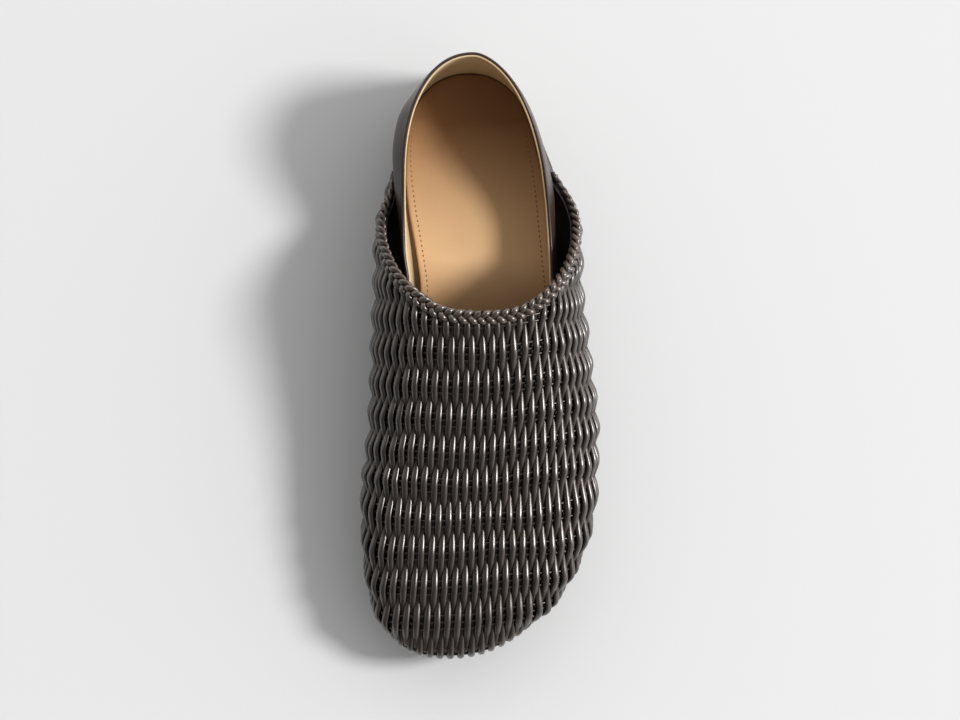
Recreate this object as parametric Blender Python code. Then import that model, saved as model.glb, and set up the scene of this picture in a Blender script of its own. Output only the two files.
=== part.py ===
"""Woven leather mule, the left shoe of a pair.

The toe points along -Y, the medial (big toe) side is at -X and the floor is z = 0.
Sizes are in millimetres, set out on the last; the meshes are written in metres, moved by PLACE so
that the shoe's box is centred on the origin.
"""
import math
from collections import namedtuple
from functools import lru_cache

import bmesh
import bpy
import numpy as np

MM = 0.001
PLACE = (-0.5, 1.2, 0.0)
MEDIAL = -1
LATERAL = 1
COLUMN = {MEDIAL: "medial", LATERAL: "lateral"}

# Sole, heel and insole
SOLE_THICK = 5.0
SOLE_CHAMFER = 1.0
INSOLE_THICK = 3.0
INSOLE_CHAMFER = 0.6
HEEL_BREAST_Y = 68.0
HEEL_INSET_TOP = 0.4
HEEL_INSET_FLOOR = 2.2
MEET_GAP = 0.3
SOCK_GAP = 0.6

# Plan of the insole's edge: a rounded toe, two sides and a rounded heel
BALL_Y = -60.0
TOE_TIP_X = -13.0
INSOLE_TOE_Y = -134.0
TOE_POWER = {MEDIAL: 3.1, LATERAL: 1.93}
HEEL_START_Y = 100.0
HEEL_TIP_X = -4.0
INSOLE_HEEL_Y = 135.0
HEEL_POWER = {MEDIAL: 2.2, LATERAL: 2.0}
HEEL_SLANT = {MEDIAL: 0.05, LATERAL: 0.25}

# Woven vamp: cord columns and rows, wall depths measured from the weave's middle surface
CORD_COUNT = 76
CROWN_SPREAD = 0.07
ROW_LENGTH = 15.5
ROW_AT_BALL = 0.51
ROW_SWEEP = {MEDIAL: 5.5, LATERAL: 18.0}
ROW_SWEEP_POWER = 1.3
SWEEP_FADE = (100.0, 155.0)
STRIP_HIGH = 3.3
STRIP_LOW = 0.9
WALL_INSIDE = 2.6
VAMP_BACK_Y = 95.0
WING_ROOM_FRONT = 0.5
WING_ROOM = 3.2
TUCK_ANGLE = math.radians(65)
TOE_OVERHANG = 4.2
TOE_SLOPE = 0.16
TOE_ARCH_POWER = 2.6
TOE_AIM_X = -7.5
FAN_AT_TIP = {MEDIAL: 1.0, LATERAL: 1.19}
FAN_AT_BALL = {MEDIAL: 1.33, LATERAL: 1.44}
Q_EDGE = 0.994
TOE_STEPS = 15

# Plaited collar on the throat's edge
COLLAR_HALF_WIDTH = 3.5
COLLAR_HALF_THICK = 2.3
COLLAR_SET = 4.4
PLAIT_PITCH = 4.6
COLLAR_STATIONS = 88
COLLAR_END_Y = 79.5

# Heel quarter
QUARTER_THICK = 2.2
WING_FRONT_Y = 8.0
QUARTER_TOP_START_Y = 86.0
QUARTER_TOP_HEEL_Y = 142.0
QUARTER_TOP_POWER = {MEDIAL: 2.2, LATERAL: 1.68}
QUARTER_TOP_SLANT = {MEDIAL: 0.0, LATERAL: 0.15}
QUARTER_LEVELS = 8

SideRow = namedtuple("SideRow", "y medial lateral")
INSOLE_SIDES = (
    SideRow(-60, -47.2, 47.8),
    SideRow(-35, -44.5, 47.0),
    SideRow(-8, -38.5, 43.4),
    SideRow(16, -32.6, 39.0),
    SideRow(33, -29.8, 36.0),
    SideRow(50, -31.2, 34.2),
    SideRow(72, -33.8, 32.2),
    SideRow(88, -34.4, 29.9),
    SideRow(100, -33.8, 27.0),
)

# Under side of the outsole along the shoe: toe spring, flat forefoot, arch, heel seat
SoleRow = namedtuple("SoleRow", "y z")
SOLE_UNDER = (
    SoleRow(-142, 8.5),
    SoleRow(-122, 3.6),
    SoleRow(-100, 0.7),
    SoleRow(-82, 0.0),
    SoleRow(-14, 0.0),
    SoleRow(16, 3.6),
    SoleRow(44, 9.6),
    SoleRow(66, 12.4),
    SoleRow(100, 13.0),
    SoleRow(142, 13.4),
)

# Middle surface of the weave, from the ball line back
VampRow = namedtuple("VampRow", "y ridge_x ridge_z medial lateral widest_z power")
VAMP_SECTIONS = (
    VampRow(-60, -4.0, 48.2, -53.6, 54.3, 24, 2.35),
    VampRow(-33, -2.5, 55.0, -50.5, 54.6, 26, 2.25),
    VampRow(-8, -1.5, 62.5, -49.4, 51.8, 28, 2.15),
    VampRow(16, -1.5, 70.0, -48.7, 48.8, 30, 2.10),
    VampRow(36, -2.0, 76.5, -48.0, 46.6, 31, 2.05),
    VampRow(52, -2.5, 81.0, -47.8, 46.4, 31, 2.00),
    VampRow(64, -3.0, 84.0, -46.8, 45.8, 30, 2.00),
    VampRow(76, -3.0, 86.0, -43.0, 42.6, 29, 2.00),
    VampRow(88, -3.0, 87.0, -40.8, 36.0, 28, 2.00),
    VampRow(99, -3.0, 88.0, -40.0, 33.0, 28, 2.00),
)

# Side view of the throat's edge, at the middle of the plait
RimRow = namedtuple("RimRow", "y z")
RIM_LINE = (
    RimRow(18.0, 71.2),
    RimRow(19.6, 69.6),
    RimRow(27, 65.6),
    RimRow(38, 57.0),
    RimRow(52, 44.5),
    RimRow(64, 33.8),
    RimRow(74, 27.4),
    RimRow(84, 23.4),
    RimRow(92, 21.6),
)

# Top edge of the quarter's outside in plan, along the wings
WING_TOP = (
    SideRow(8, -36.0, 41.5),
    SideRow(36, -34.9, 34.7),
    SideRow(48, -36.6, 34.2),
    SideRow(70, -37.2, 32.6),
    SideRow(86, -37.3, 30.4),
)
# Swell of the quarter's side at mid height, beyond a straight line from foot to top
QUARTER_SWELL = (
    SideRow(8, 1.2, 1.2),
    SideRow(60, 1.4, 1.6),
    SideRow(80, 3.2, 2.6),
    SideRow(98, 4.6, 1.8),
    SideRow(112, 4.2, 1.1),
    SideRow(126, 1.6, 0.8),
    SideRow(142, 1.0, 1.0),
)

# Height of the quarter's top edge
QUARTER_HEIGHT = (
    RimRow(8, 32.0),
    RimRow(20, 37.0),
    RimRow(40, 40.0),
    RimRow(62, 41.5),
    RimRow(76, 45.0),
    RimRow(92, 53.0),
    RimRow(108, 60.0),
    RimRow(124, 63.0),
    RimRow(142, 63.5),
)


def smooth(rows, column, y):
    """Value of a table's column at y, on a smooth curve through its rows that never overshoots."""
    ys = [row.y for row in rows]
    values = [getattr(row, column) for row in rows]
    if y <= ys[0]:
        return values[0]
    if y >= ys[-1]:
        return values[-1]
    steps = [(values[i + 1] - values[i]) / (ys[i + 1] - ys[i]) for i in range(len(ys) - 1)]
    slopes = [steps[0]]
    for before, after in zip(steps, steps[1:]):
        same_way = before * after > 0
        slopes.append(2 * before * after / (before + after) if same_way else 0.0)
    slopes.append(steps[-1])
    i = max(k for k in range(len(ys) - 1) if ys[k] <= y)
    span = ys[i + 1] - ys[i]
    t = (y - ys[i]) / span
    start = (1 + 2 * t) * (1 - t) ** 2 * values[i] + t * (1 - t) ** 2 * span * slopes[i]
    end = t * t * (3 - 2 * t) * values[i + 1] + t * t * (t - 1) * span * slopes[i + 1]
    return start + end


def ease(y, low, high):
    """0 below low, 1 above high and a smooth step between."""
    t = min(max((y - low) / (high - low), 0.0), 1.0)
    return t * t * (3 - 2 * t)


def rounded(angle, power):
    """Quarter curve from (0, 1) at angle 0 to (1, 0) at a right angle; power 2 is a circle."""
    return np.sin(angle) ** (2 / power), np.abs(np.cos(angle)) ** (2 / power)


def drawn_in(slant, reach, t):
    """How far a heel's curve lies inside its round at share t of its reach, as it starts on a slant."""
    return slant * reach * t * (1 - t) ** 2


def edge_x(side, y, margin):
    """Plan x, at y, of the line that runs margin outside the insole's edge."""
    if y < BALL_Y:
        half = abs(smooth(INSOLE_SIDES, COLUMN[side], BALL_Y) - TOE_TIP_X) + margin
        t = min((BALL_Y - y) / (BALL_Y - INSOLE_TOE_Y + margin), 1.0)
        return TOE_TIP_X + side * half * (1 - t ** TOE_POWER[side]) ** (1 / TOE_POWER[side])
    if y > HEEL_START_Y:
        half = abs(smooth(INSOLE_SIDES, COLUMN[side], HEEL_START_Y) - HEEL_TIP_X) + margin
        reach = INSOLE_HEEL_Y + margin - HEEL_START_Y
        t = min((y - HEEL_START_Y) / reach, 1.0)
        across = half * (1 - t ** HEEL_POWER[side]) ** (1 / HEEL_POWER[side])
        return HEEL_TIP_X + side * (across - drawn_in(HEEL_SLANT[side], reach, t))
    return smooth(INSOLE_SIDES, COLUMN[side], y) + side * margin


def sole_top(y):
    return smooth(SOLE_UNDER, "z", y) + SOLE_THICK


def wing_room(y):
    """Space between the insole's edge and the woven wall: wide where the quarter's wings pass."""
    return WING_ROOM_FRONT + (WING_ROOM - WING_ROOM_FRONT) * ease(y, -14, 6)


def sole_margin(y):
    """How far the outsole reaches beyond the insole: under the woven wall, then under the quarter."""
    under_vamp = wing_room(y) + WALL_INSIDE + 1.5
    under_quarter = SOCK_GAP + QUARTER_THICK + 0.5
    return under_vamp + (under_quarter - under_vamp) * ease(y, 78, 120)


def wall_line(top, widest, foot, power, slope):
    """Points over the last from the top of the instep to the sole: an arch, then a tuck under it."""
    across, up = rounded(np.linspace(0, math.pi / 2, 40), power)
    arch = top + across[:, None] * (widest - top)
    crown = top[2] - slope * (top[1] - arch[:, 1])
    arch[:, 2] = widest[2] + (crown - widest[2]) * up
    angle = np.linspace(0, TUCK_ANGLE, 14)[1:]
    inward = (np.cos(angle) - math.cos(TUCK_ANGLE)) / (1 - math.cos(TUCK_ANGLE))
    tuck = foot + inward[:, None] * (widest - foot)
    tuck[:, 2] = widest[2] - (widest[2] - foot[2]) * np.sin(angle) / math.sin(TUCK_ANGLE)
    return np.vstack([arch, tuck])


def share_of(line, share):
    """Point at a share of a line's length."""
    lengths = np.concatenate([[0], np.cumsum(np.linalg.norm(np.diff(line, axis=0), axis=1))])
    return np.array([np.interp(share * lengths[-1], lengths, line[:, k]) for k in range(3)])


@lru_cache(maxsize=4000)
def half_section(side, y):
    """The weave's middle surface cut across the shoe behind the ball, from ridge to sole."""
    top = np.array([smooth(VAMP_SECTIONS, "ridge_x", y), y, smooth(VAMP_SECTIONS, "ridge_z", y)])
    widest = np.array([smooth(VAMP_SECTIONS, COLUMN[side], y), y, smooth(VAMP_SECTIONS, "widest_z", y)])
    foot = np.array([edge_x(side, y, wing_room(y) + WALL_INSIDE), y, sole_top(y)])
    return wall_line(top, widest, foot, smooth(VAMP_SECTIONS, "power", y), 0.0)


@lru_cache(maxsize=None)
def toe_edge(side, medial, lateral, tip_y):
    """Plan of the toe's edge, from where the middle cord meets it back to the ball line on one side."""
    halves = []
    for which, ball_x in ((MEDIAL, medial), (LATERAL, lateral)):
        across, ahead = rounded(np.linspace(0, math.pi / 2, 160), TOE_POWER[which])
        half = np.zeros((160, 3))
        half[:, 0] = TOE_TIP_X + (ball_x - TOE_TIP_X) * across
        half[:, 1] = BALL_Y - (BALL_Y - tip_y) * ahead
        halves.append(half)
    edge_points = np.vstack([halves[0][:0:-1], halves[1]])
    aim = [[TOE_AIM_X, np.interp(TOE_AIM_X, edge_points[:, 0], edge_points[:, 1]), 0.0]]
    on_side = edge_points[side * (edge_points[:, 0] - TOE_AIM_X) > 0]
    return np.vstack([aim, on_side[::side]])


def fan_share(side, swing):
    """Share of the toe's edge that a swing reaches: even cords at the tip, even rows at the ball line."""
    tip = FAN_AT_TIP[side] * swing * (1 - swing) ** 2
    ball = FAN_AT_BALL[side] * swing * swing * (swing - 1)
    return tip + swing * swing * (3 - 2 * swing) + ball


def toe_line(side, swing):
    """Line from the ball's ridge out over the toe; swing 0 follows the middle cord, 1 the ball line."""
    pole = half_section(side, BALL_Y)[0]
    ball = VAMP_SECTIONS[0]
    margin = WING_ROOM_FRONT + WALL_INSIDE
    fan = fan_share(side, swing)
    tip_widest = INSOLE_TOE_Y - margin - TOE_OVERHANG
    widest = share_of(toe_edge(side, ball.medial, ball.lateral, tip_widest), fan)
    widest[2] = ball.widest_z
    foot_sides = [edge_x(which, BALL_Y, margin) for which in (MEDIAL, LATERAL)]
    foot = share_of(toe_edge(side, *foot_sides, INSOLE_TOE_Y - margin), fan)
    foot[2] = sole_top(foot[1])
    power = TOE_ARCH_POWER + (ball.power - TOE_ARCH_POWER) * swing ** 2
    return wall_line(pole, widest, foot, power, TOE_SLOPE)


TOE_RUN = float(np.sum(np.linalg.norm(np.diff(toe_line(LATERAL, 0.0), axis=0), axis=1)))


def run_limit(q):
    """How far a cord at girth share q runs from the ball line before it meets the sole."""
    return TOE_RUN * math.sqrt(max(1 - q * q, 0.0))


def vamp_point(q, run):
    """Point of the weave's middle surface.

    q is the share of the half girth (-1 medial sole edge, 0 ridge, 1 lateral sole edge) and run is the
    distance from the ball line towards the toe.
    """
    side = LATERAL if q >= 0 else MEDIAL
    if run <= 0:
        return share_of(half_section(side, round(BALL_Y - run, 4)), min(abs(q), 1.0))
    ahead = run / TOE_RUN
    swing = math.atan2(abs(q), ahead) / (math.pi / 2)
    return share_of(toe_line(side, swing), min(math.hypot(q, ahead), 1.0))


def vamp_normal(q, run):
    """Outward direction of the weave's middle surface."""
    across = vamp_point(min(q + 0.006, 1.0), run) - vamp_point(max(q - 0.006, -1.0), run)
    forward = vamp_point(q, run + 0.6) - vamp_point(q, run - 0.6)
    normal = np.cross(forward, across)
    return normal / np.linalg.norm(normal)


def collection(name, shown):
    made = bpy.data.collections.new(name)
    bpy.context.scene.collection.children.link(made)
    made.hide_render = not shown
    return made


def material(name, colour, roughness):
    made = bpy.data.materials.new(name)
    made.use_nodes = True
    shader = made.node_tree.nodes["Principled BSDF"]
    shader.inputs["Base Color"].default_value = (*colour, 1.0)
    shader.inputs["Roughness"].default_value = roughness
    return made


def mesh_object(name, bm, where, surface=None):
    """Object from a bmesh in millimetres, with its normals outward."""
    bmesh.ops.remove_doubles(bm, verts=bm.verts, dist=1e-4)
    bmesh.ops.recalc_face_normals(bm, faces=bm.faces)
    bmesh.ops.translate(bm, verts=bm.verts, vec=PLACE)
    bmesh.ops.scale(bm, verts=bm.verts, vec=(MM, MM, MM))
    mesh = bpy.data.meshes.new(name)
    bm.to_mesh(mesh)
    bm.free()
    made = bpy.data.objects.new(name, mesh)
    where.objects.link(made)
    if surface:
        mesh.materials.append(surface)
    else:
        made.hide_render = True
        made.display_type = "WIRE"
    return made


def grid_faces(bm, rows, ring):
    """Quads between neighbouring rows of points; ring closes each row on itself."""
    verts = [[bm.verts.new(point) for point in row] for row in rows]
    for row, after in zip(verts, verts[1:]):
        for i in range(len(row) if ring else len(row) - 1):
            k = (i + 1) % len(row)
            bm.faces.new((row[i], row[k], after[k], after[i]))
    return verts


def loft(name, rings, where, surface):
    """Closed solid through rings of equal point counts, capped at both ends."""
    bm = bmesh.new()
    verts = grid_faces(bm, rings, True)
    bm.faces.new(verts[0])
    bm.faces.new(verts[-1])
    return mesh_object(name, bm, where, surface)


def prism(name, outline_yz, half_width, where):
    """Cutter: a side-view outline drawn out along X."""
    bm = bmesh.new()
    ends = [[(x, y, z) for y, z in outline_yz] for x in (-half_width, half_width)]
    verts = grid_faces(bm, ends, True)
    bm.faces.new(verts[0])
    bm.faces.new(verts[1])
    return mesh_object(name, bm, where)


def cut(target, cutter):
    step = target.modifiers.new("cut " + cutter.name, "BOOLEAN")
    step.operation = "DIFFERENCE"
    step.solver = "EXACT"
    step.object = cutter


def stations(first, last, ends, middle):
    """Stations along the shoe, crowded towards its rounded ends."""
    toe = [BALL_Y + (first - BALL_Y) * math.sin(math.pi / 2 * k / ends) for k in range(ends, 0, -1)]
    sides = [BALL_Y + (HEEL_START_Y - BALL_Y) * k / middle for k in range(middle + 1)]
    reach = last - HEEL_START_Y
    heel = [HEEL_START_Y + reach * math.sin(math.pi / 2 * k / ends) for k in range(1, ends + 1)]
    return toe + sides + heel


def slab_ring(y, medial, lateral, low, high, chamfer):
    """Section of a flat piece across the shoe, with its four corners taken off."""
    c = min(chamfer, 0.45 * (lateral - medial), 0.45 * (high - low))
    corners = ((medial + c, low), (lateral - c, low), (lateral, low + c), (lateral, high - c),
               (lateral - c, high), (medial + c, high), (medial, high - c), (medial, low + c))
    return [(x, y, z) for x, z in corners]


def outsole(where, surface):
    rings = []
    toe_y = INSOLE_TOE_Y - sole_margin(INSOLE_TOE_Y)
    heel_y = INSOLE_HEEL_Y + sole_margin(INSOLE_HEEL_Y)
    for y in stations(toe_y + 0.02, heel_y - 0.02, 11, 20):
        low = smooth(SOLE_UNDER, "z", y)
        sides = [edge_x(side, y, sole_margin(y)) for side in (MEDIAL, LATERAL)]
        rings.append(slab_ring(y, *sides, low, low + SOLE_THICK, SOLE_CHAMFER))
    return loft("outsole", rings, where, surface)


def insole(where, surface):
    rings = []
    for y in stations(INSOLE_TOE_Y + 0.02, INSOLE_HEEL_Y - 0.02, 10, 16):
        low = sole_top(y) + MEET_GAP
        sides = [edge_x(side, y, 0.0) for side in (MEDIAL, LATERAL)]
        rings.append(slab_ring(y, *sides, low, low + INSOLE_THICK, INSOLE_CHAMFER))
    return loft("insole", rings, where, surface)


def heel_block(where, surface):
    rings = []
    heel_y = INSOLE_HEEL_Y + sole_margin(INSOLE_HEEL_Y) - HEEL_INSET_FLOOR
    sides_y = [HEEL_BREAST_Y + (HEEL_START_Y - HEEL_BREAST_Y) * k / 4 for k in range(4)]
    reach = heel_y - 0.02 - HEEL_START_Y
    for y in sides_y + [HEEL_START_Y + reach * math.sin(math.pi / 2 * k / 12) for k in range(13)]:
        ring = []
        seat = smooth(SOLE_UNDER, "z", y) - MEET_GAP
        for side, order in ((MEDIAL, (1, 0)), (LATERAL, (0, 1))):
            for level in order:
                inset = (HEEL_INSET_FLOOR, HEEL_INSET_TOP)[level]
                spread = (y - HEEL_START_Y) / (heel_y - HEEL_START_Y) if y > HEEL_START_Y else 0.0
                back = y + spread * (HEEL_INSET_FLOOR - inset)
                ring.append((edge_x(side, back, sole_margin(back) - inset), back, (0.0, seat)[level]))
        rings.append(ring)
    return loft("heel_block", rings, where, surface)


def cord_share(lane, run):
    """Girth share of a cord's lane: from the ball on, the lanes lie wider on the crown than at the sole."""
    return lane * (1 + CROWN_SPREAD * ease(run, -70, 0) * (1 - lane * lane))


def row_sweep(lane):
    """How far a row of the weave has swung back towards the heel at a lane."""
    return ROW_SWEEP[LATERAL if lane >= 0 else MEDIAL] * abs(lane) ** ROW_SWEEP_POWER


def run_of_row(lane, row):
    """Run at which a lane reaches a row; behind the throat the swing fades out."""
    level = (row - ROW_AT_BALL) * ROW_LENGTH
    return level - row_sweep(lane) * (1 - ease(-level, *SWEEP_FADE))


def vamp_skin(name, columns_of, back_y, floor_z, where, surface=None):
    """Closed body under a skin set off from the weave's middle surface: flat below and behind.

    Each column is a lane and its stations, pairs of run and height over the middle surface.
    """
    columns = []
    for lane, column_stations in columns_of:
        column = []
        for run, height in column_stations:
            q = cord_share(lane, run)
            point = vamp_point(q, run) + vamp_normal(q, run) * height
            if run == column_stations[0][0]:
                point[1] = back_y
            column.append(tuple(point))
        under = (column[-1][0], column[-1][1], floor_z)
        columns.append(column + [under])
    edges = [[(x, y, floor_z) for x, y, _ in columns[i]] for i in (0, -1)]
    bm = bmesh.new()
    grid_faces(bm, [edges[0]] + columns + [edges[1]], False)
    bmesh.ops.remove_doubles(bm, verts=bm.verts, dist=1e-4)
    corners = [v for v in bm.verts if abs(v.co.y - back_y) < 1e-4 and abs(v.co.z - floor_z) < 1e-4]
    bm.edges.new(corners)
    for axis, level in ((2, floor_z), (1, back_y)):
        rim = [e for e in bm.edges
               if len(e.link_faces) < 2 and all(abs(v.co[axis] - level) < 1e-4 for v in e.verts)]
        bmesh.ops.edgeloop_fill(bm, edges=rim)
    return mesh_object(name, bm, where, surface)


def lanes(count):
    return [Q_EDGE * (2 * i / (count - 1) - 1) for i in range(count)]


def toe_runs(lane, count):
    limit = run_limit(cord_share(lane, 0.0))
    return [limit * (i + 1) / count for i in range(count)]


def strip_column(k, lane):
    """One cord of the weave: it goes over one row and under the next, turn about with its neighbours."""
    first_row = math.ceil(2 * (ROW_AT_BALL - (VAMP_BACK_Y - BALL_Y) / ROW_LENGTH)) / 2
    rows = np.arange(first_row + 0.25, ROW_AT_BALL, 0.5)
    column = [(run_of_row(lane, row), row) for row in rows]
    column += [(run, (run + row_sweep(lane)) / ROW_LENGTH + ROW_AT_BALL) for run in toe_runs(lane, TOE_STEPS)]
    at_side = k in (0, CORD_COUNT - 1)
    heights = [STRIP_LOW if at_side or (k + math.floor(row)) % 2 else STRIP_HIGH for _, row in column]
    heights[-1] = STRIP_LOW
    return [(BALL_Y - VAMP_BACK_Y, STRIP_LOW)] + [(run, height) for (run, _), height in zip(column, heights)]


def rim_side(step):
    """The throat's edge in side view, moved step towards the toe."""
    ys = np.linspace(RIM_LINE[0].y, RIM_LINE[-1].y, 36)
    line = np.array([(y, smooth(RIM_LINE, "z", y)) for y in ys])
    ahead = np.gradient(line, axis=0)
    ahead[0] = (0.0, -1.0)
    ahead /= np.linalg.norm(ahead, axis=1)[:, None]
    return line + step * np.column_stack([ahead[:, 1], -ahead[:, 0]])


def woven_vamp(where, cutters, surface):
    strips = [(lane, strip_column(k, lane)) for k, lane in enumerate(lanes(CORD_COUNT))]
    vamp = vamp_skin("woven_vamp", strips, VAMP_BACK_Y, -10.0, where, surface)
    hollow_back = VAMP_BACK_Y + 4
    back_runs = [(BALL_Y - hollow_back) * (1 - i / 16) for i in range(17)]
    linings = [(lane, [(run, -WALL_INSIDE) for run in back_runs + toe_runs(lane, 9)]) for lane in lanes(32)]
    hollow = vamp_skin("vamp_hollow", linings, hollow_back, -15.0, cutters)
    seat = [(y, sole_top(y) + MEET_GAP) for y in np.linspace(-160, 120, 90)]
    sole_cutter = prism("sole_seat", seat + [(120, -30), (-160, -30)], 90, cutters)
    edge = [tuple(point) for point in rim_side(COLLAR_SET)]
    throat = prism("throat_opening", [(edge[0][0], 130.0)] + edge + [(130.0, edge[-1][1]), (130.0, 130.0)],
                   90, cutters)
    for cutter in (hollow, sole_cutter, throat):
        cut(vamp, cutter)
    return vamp


def rim_curve():
    """Middle of the plait on the weave's surface, from the medial sole edge over the instep and down."""
    points = []
    for side in (MEDIAL, LATERAL):
        one_side = []
        for u in np.linspace(0, 1, 120):
            y = RIM_LINE[0].y + (COLLAR_END_Y - RIM_LINE[0].y) * u * u
            line = half_section(side, round(float(y), 4))
            z = smooth(RIM_LINE, "z", y)
            share = np.interp(-z, -line[:, 2], np.linspace(0, 1, len(line)))
            at = share * (len(line) - 1)
            one_side.append([np.interp(at, np.arange(len(line)), line[:, k]) for k in range(3)])
        points += one_side[::-1] if side == MEDIAL else one_side[1:]
    return np.array(points)


def braid_collar(where, surface):
    path = rim_curve()
    middle = np.array([share_of(path, u) for u in np.linspace(0, 1, COLLAR_STATIONS)])
    length = float(np.sum(np.linalg.norm(np.diff(middle, axis=0), axis=1)))
    ahead = np.gradient(middle, axis=0)
    ahead /= np.linalg.norm(ahead, axis=1)[:, None]
    rings = []
    for i, centre in enumerate(middle):
        axis = np.array([smooth(VAMP_SECTIONS, "ridge_x", centre[1]), centre[1], 26.0])
        out = centre - axis
        out[1] = 0.0
        out -= ahead[i] * np.dot(out, ahead[i])
        out /= np.linalg.norm(out)
        across = np.cross(ahead[i], out)
        beat = math.pi * length * i / (COLLAR_STATIONS - 1) / PLAIT_PITCH * 2
        ring = []
        for step in range(8):
            angle = 2 * math.pi * (step + 0.5) / 8
            swell = 1.0 + 0.14 * math.cos(beat + (math.pi if math.cos(angle) > 0 else 0.0))
            ring.append(centre + across * (COLLAR_HALF_WIDTH / 1.14 * swell * math.cos(angle))
                        + out * (COLLAR_HALF_THICK / 1.14 * swell * math.sin(angle)))
        rings.append(ring)
    return loft("braid_collar", rings, where, surface)


def quarter_edges(side, share):
    """Foot and top of the quarter's outside at a share of the way from the heel's back to a wing's end."""
    margin = SOCK_GAP + QUARTER_THICK
    turn = 0.46
    if share < turn:
        angle = math.pi / 2 * share / turn
        half = abs(smooth(INSOLE_SIDES, COLUMN[side], HEEL_START_Y) - HEEL_TIP_X) + margin
        reach = INSOLE_HEEL_Y + margin - HEEL_START_Y
        across, back = rounded(angle, HEEL_POWER[side])
        foot = (HEEL_TIP_X + side * (half * across - drawn_in(HEEL_SLANT[side], reach, back)),
                HEEL_START_Y + reach * back)
        half = abs(smooth(WING_TOP, COLUMN[side], QUARTER_TOP_START_Y) - HEEL_TIP_X)
        reach = QUARTER_TOP_HEEL_Y - QUARTER_TOP_START_Y
        across, back = rounded(angle, QUARTER_TOP_POWER[side])
        top = (HEEL_TIP_X + side * (half * across - drawn_in(QUARTER_TOP_SLANT[side], reach, back)),
               QUARTER_TOP_START_Y + reach * back)
        return foot, top
    t = (share - turn) / (1 - turn)
    foot_y = HEEL_START_Y + (WING_FRONT_Y - HEEL_START_Y) * t
    top_y = QUARTER_TOP_START_Y + (WING_FRONT_Y - QUARTER_TOP_START_Y) * t
    return (edge_x(side, foot_y, margin), foot_y), (smooth(WING_TOP, COLUMN[side], top_y), top_y)


def heel_quarter(where, surface):
    shares = [(MEDIAL, 1 - k / 20) for k in range(20)] + [(LATERAL, k / 20) for k in range(21)]
    outside = np.zeros((len(shares), QUARTER_LEVELS, 3))
    for i, (side, share) in enumerate(shares):
        foot, top = quarter_edges(side, share)
        low = sole_top(foot[1]) + MEET_GAP
        high = smooth(QUARTER_HEIGHT, "z", top[1])
        for k in range(QUARTER_LEVELS):
            h = k / (QUARTER_LEVELS - 1)
            outside[i, k] = (foot[0] + (top[0] - foot[0]) * h, foot[1] + (top[1] - foot[1]) * h,
                             low + (high - low) * h)
    outward = np.cross(np.gradient(outside, axis=1), np.gradient(outside, axis=0))
    outward /= np.linalg.norm(outward, axis=2)[:, :, None]
    flat = outward.copy()
    flat[:, :, 2] = 0
    for i in range(len(shares)):
        for k in range(QUARTER_LEVELS):
            swell = smooth(QUARTER_SWELL, COLUMN[shares[i][0]], outside[i, k, 1])
            outside[i, k] += flat[i, k] * swell * math.sin(math.pi * k / (QUARTER_LEVELS - 1))
    outward = np.cross(np.gradient(outside, axis=1), np.gradient(outside, axis=0))
    outward /= np.linalg.norm(outward, axis=2)[:, :, None]
    inside = outside - outward * QUARTER_THICK
    inside[:, 0] = outside[:, 0] - flat[:, 0] * QUARTER_THICK
    inside[:, 0, 2] = outside[:, 0, 2]
    rings = [list(outside[i]) + list(inside[i][::-1]) for i in range(len(shares))]
    return loft("heel_quarter", rings, where, surface)


for old in list(bpy.data.objects):
    bpy.data.objects.remove(old)

shoe = collection("woven mule", True)
cutters = collection("cutters", False)
outsole(shoe, material("sole leather", (0.035, 0.025, 0.020), 0.55))
heel_block(shoe, material("heel stack", (0.045, 0.030, 0.022), 0.5))
insole(shoe, material("tan insole leather", (0.52, 0.31, 0.17), 0.5))
woven_vamp(shoe, cutters, material("woven cord", (0.040, 0.029, 0.024), 0.35))
braid_collar(shoe, material("plaited cord", (0.040, 0.029, 0.024), 0.35))
heel_quarter(shoe, material("quarter leather", (0.060, 0.042, 0.035), 0.4))
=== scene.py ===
import math
from collections import namedtuple

import bmesh
import bpy
import numpy as np
from mathutils import Matrix, Vector


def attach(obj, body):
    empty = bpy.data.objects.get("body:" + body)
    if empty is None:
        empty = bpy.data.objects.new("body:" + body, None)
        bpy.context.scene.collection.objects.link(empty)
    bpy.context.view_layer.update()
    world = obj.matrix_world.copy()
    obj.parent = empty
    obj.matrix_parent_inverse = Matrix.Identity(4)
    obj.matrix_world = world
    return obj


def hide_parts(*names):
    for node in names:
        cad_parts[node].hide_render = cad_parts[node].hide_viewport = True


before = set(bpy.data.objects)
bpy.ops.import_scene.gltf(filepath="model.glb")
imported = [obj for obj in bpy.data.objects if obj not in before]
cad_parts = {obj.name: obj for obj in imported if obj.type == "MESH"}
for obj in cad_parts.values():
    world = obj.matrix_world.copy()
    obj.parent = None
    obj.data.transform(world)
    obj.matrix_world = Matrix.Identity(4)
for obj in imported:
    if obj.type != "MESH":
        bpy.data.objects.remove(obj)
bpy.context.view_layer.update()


# Outsole: one bend of dark brown sole leather cut to the last's plan, with toe spring and an arch. Its rim
# is rounded, dyed and burnished, and the woven upper is lasted down on it. Sizes are in millimetres on the
# last: x to the lateral side, y to the heel, z up.
MM = 0.001
PLACE = np.array([-0.5, 1.2, 0.0])
MEDIAL = -1
LATERAL = 1
COLUMN = {MEDIAL: "medial", LATERAL: "lateral"}

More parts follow.
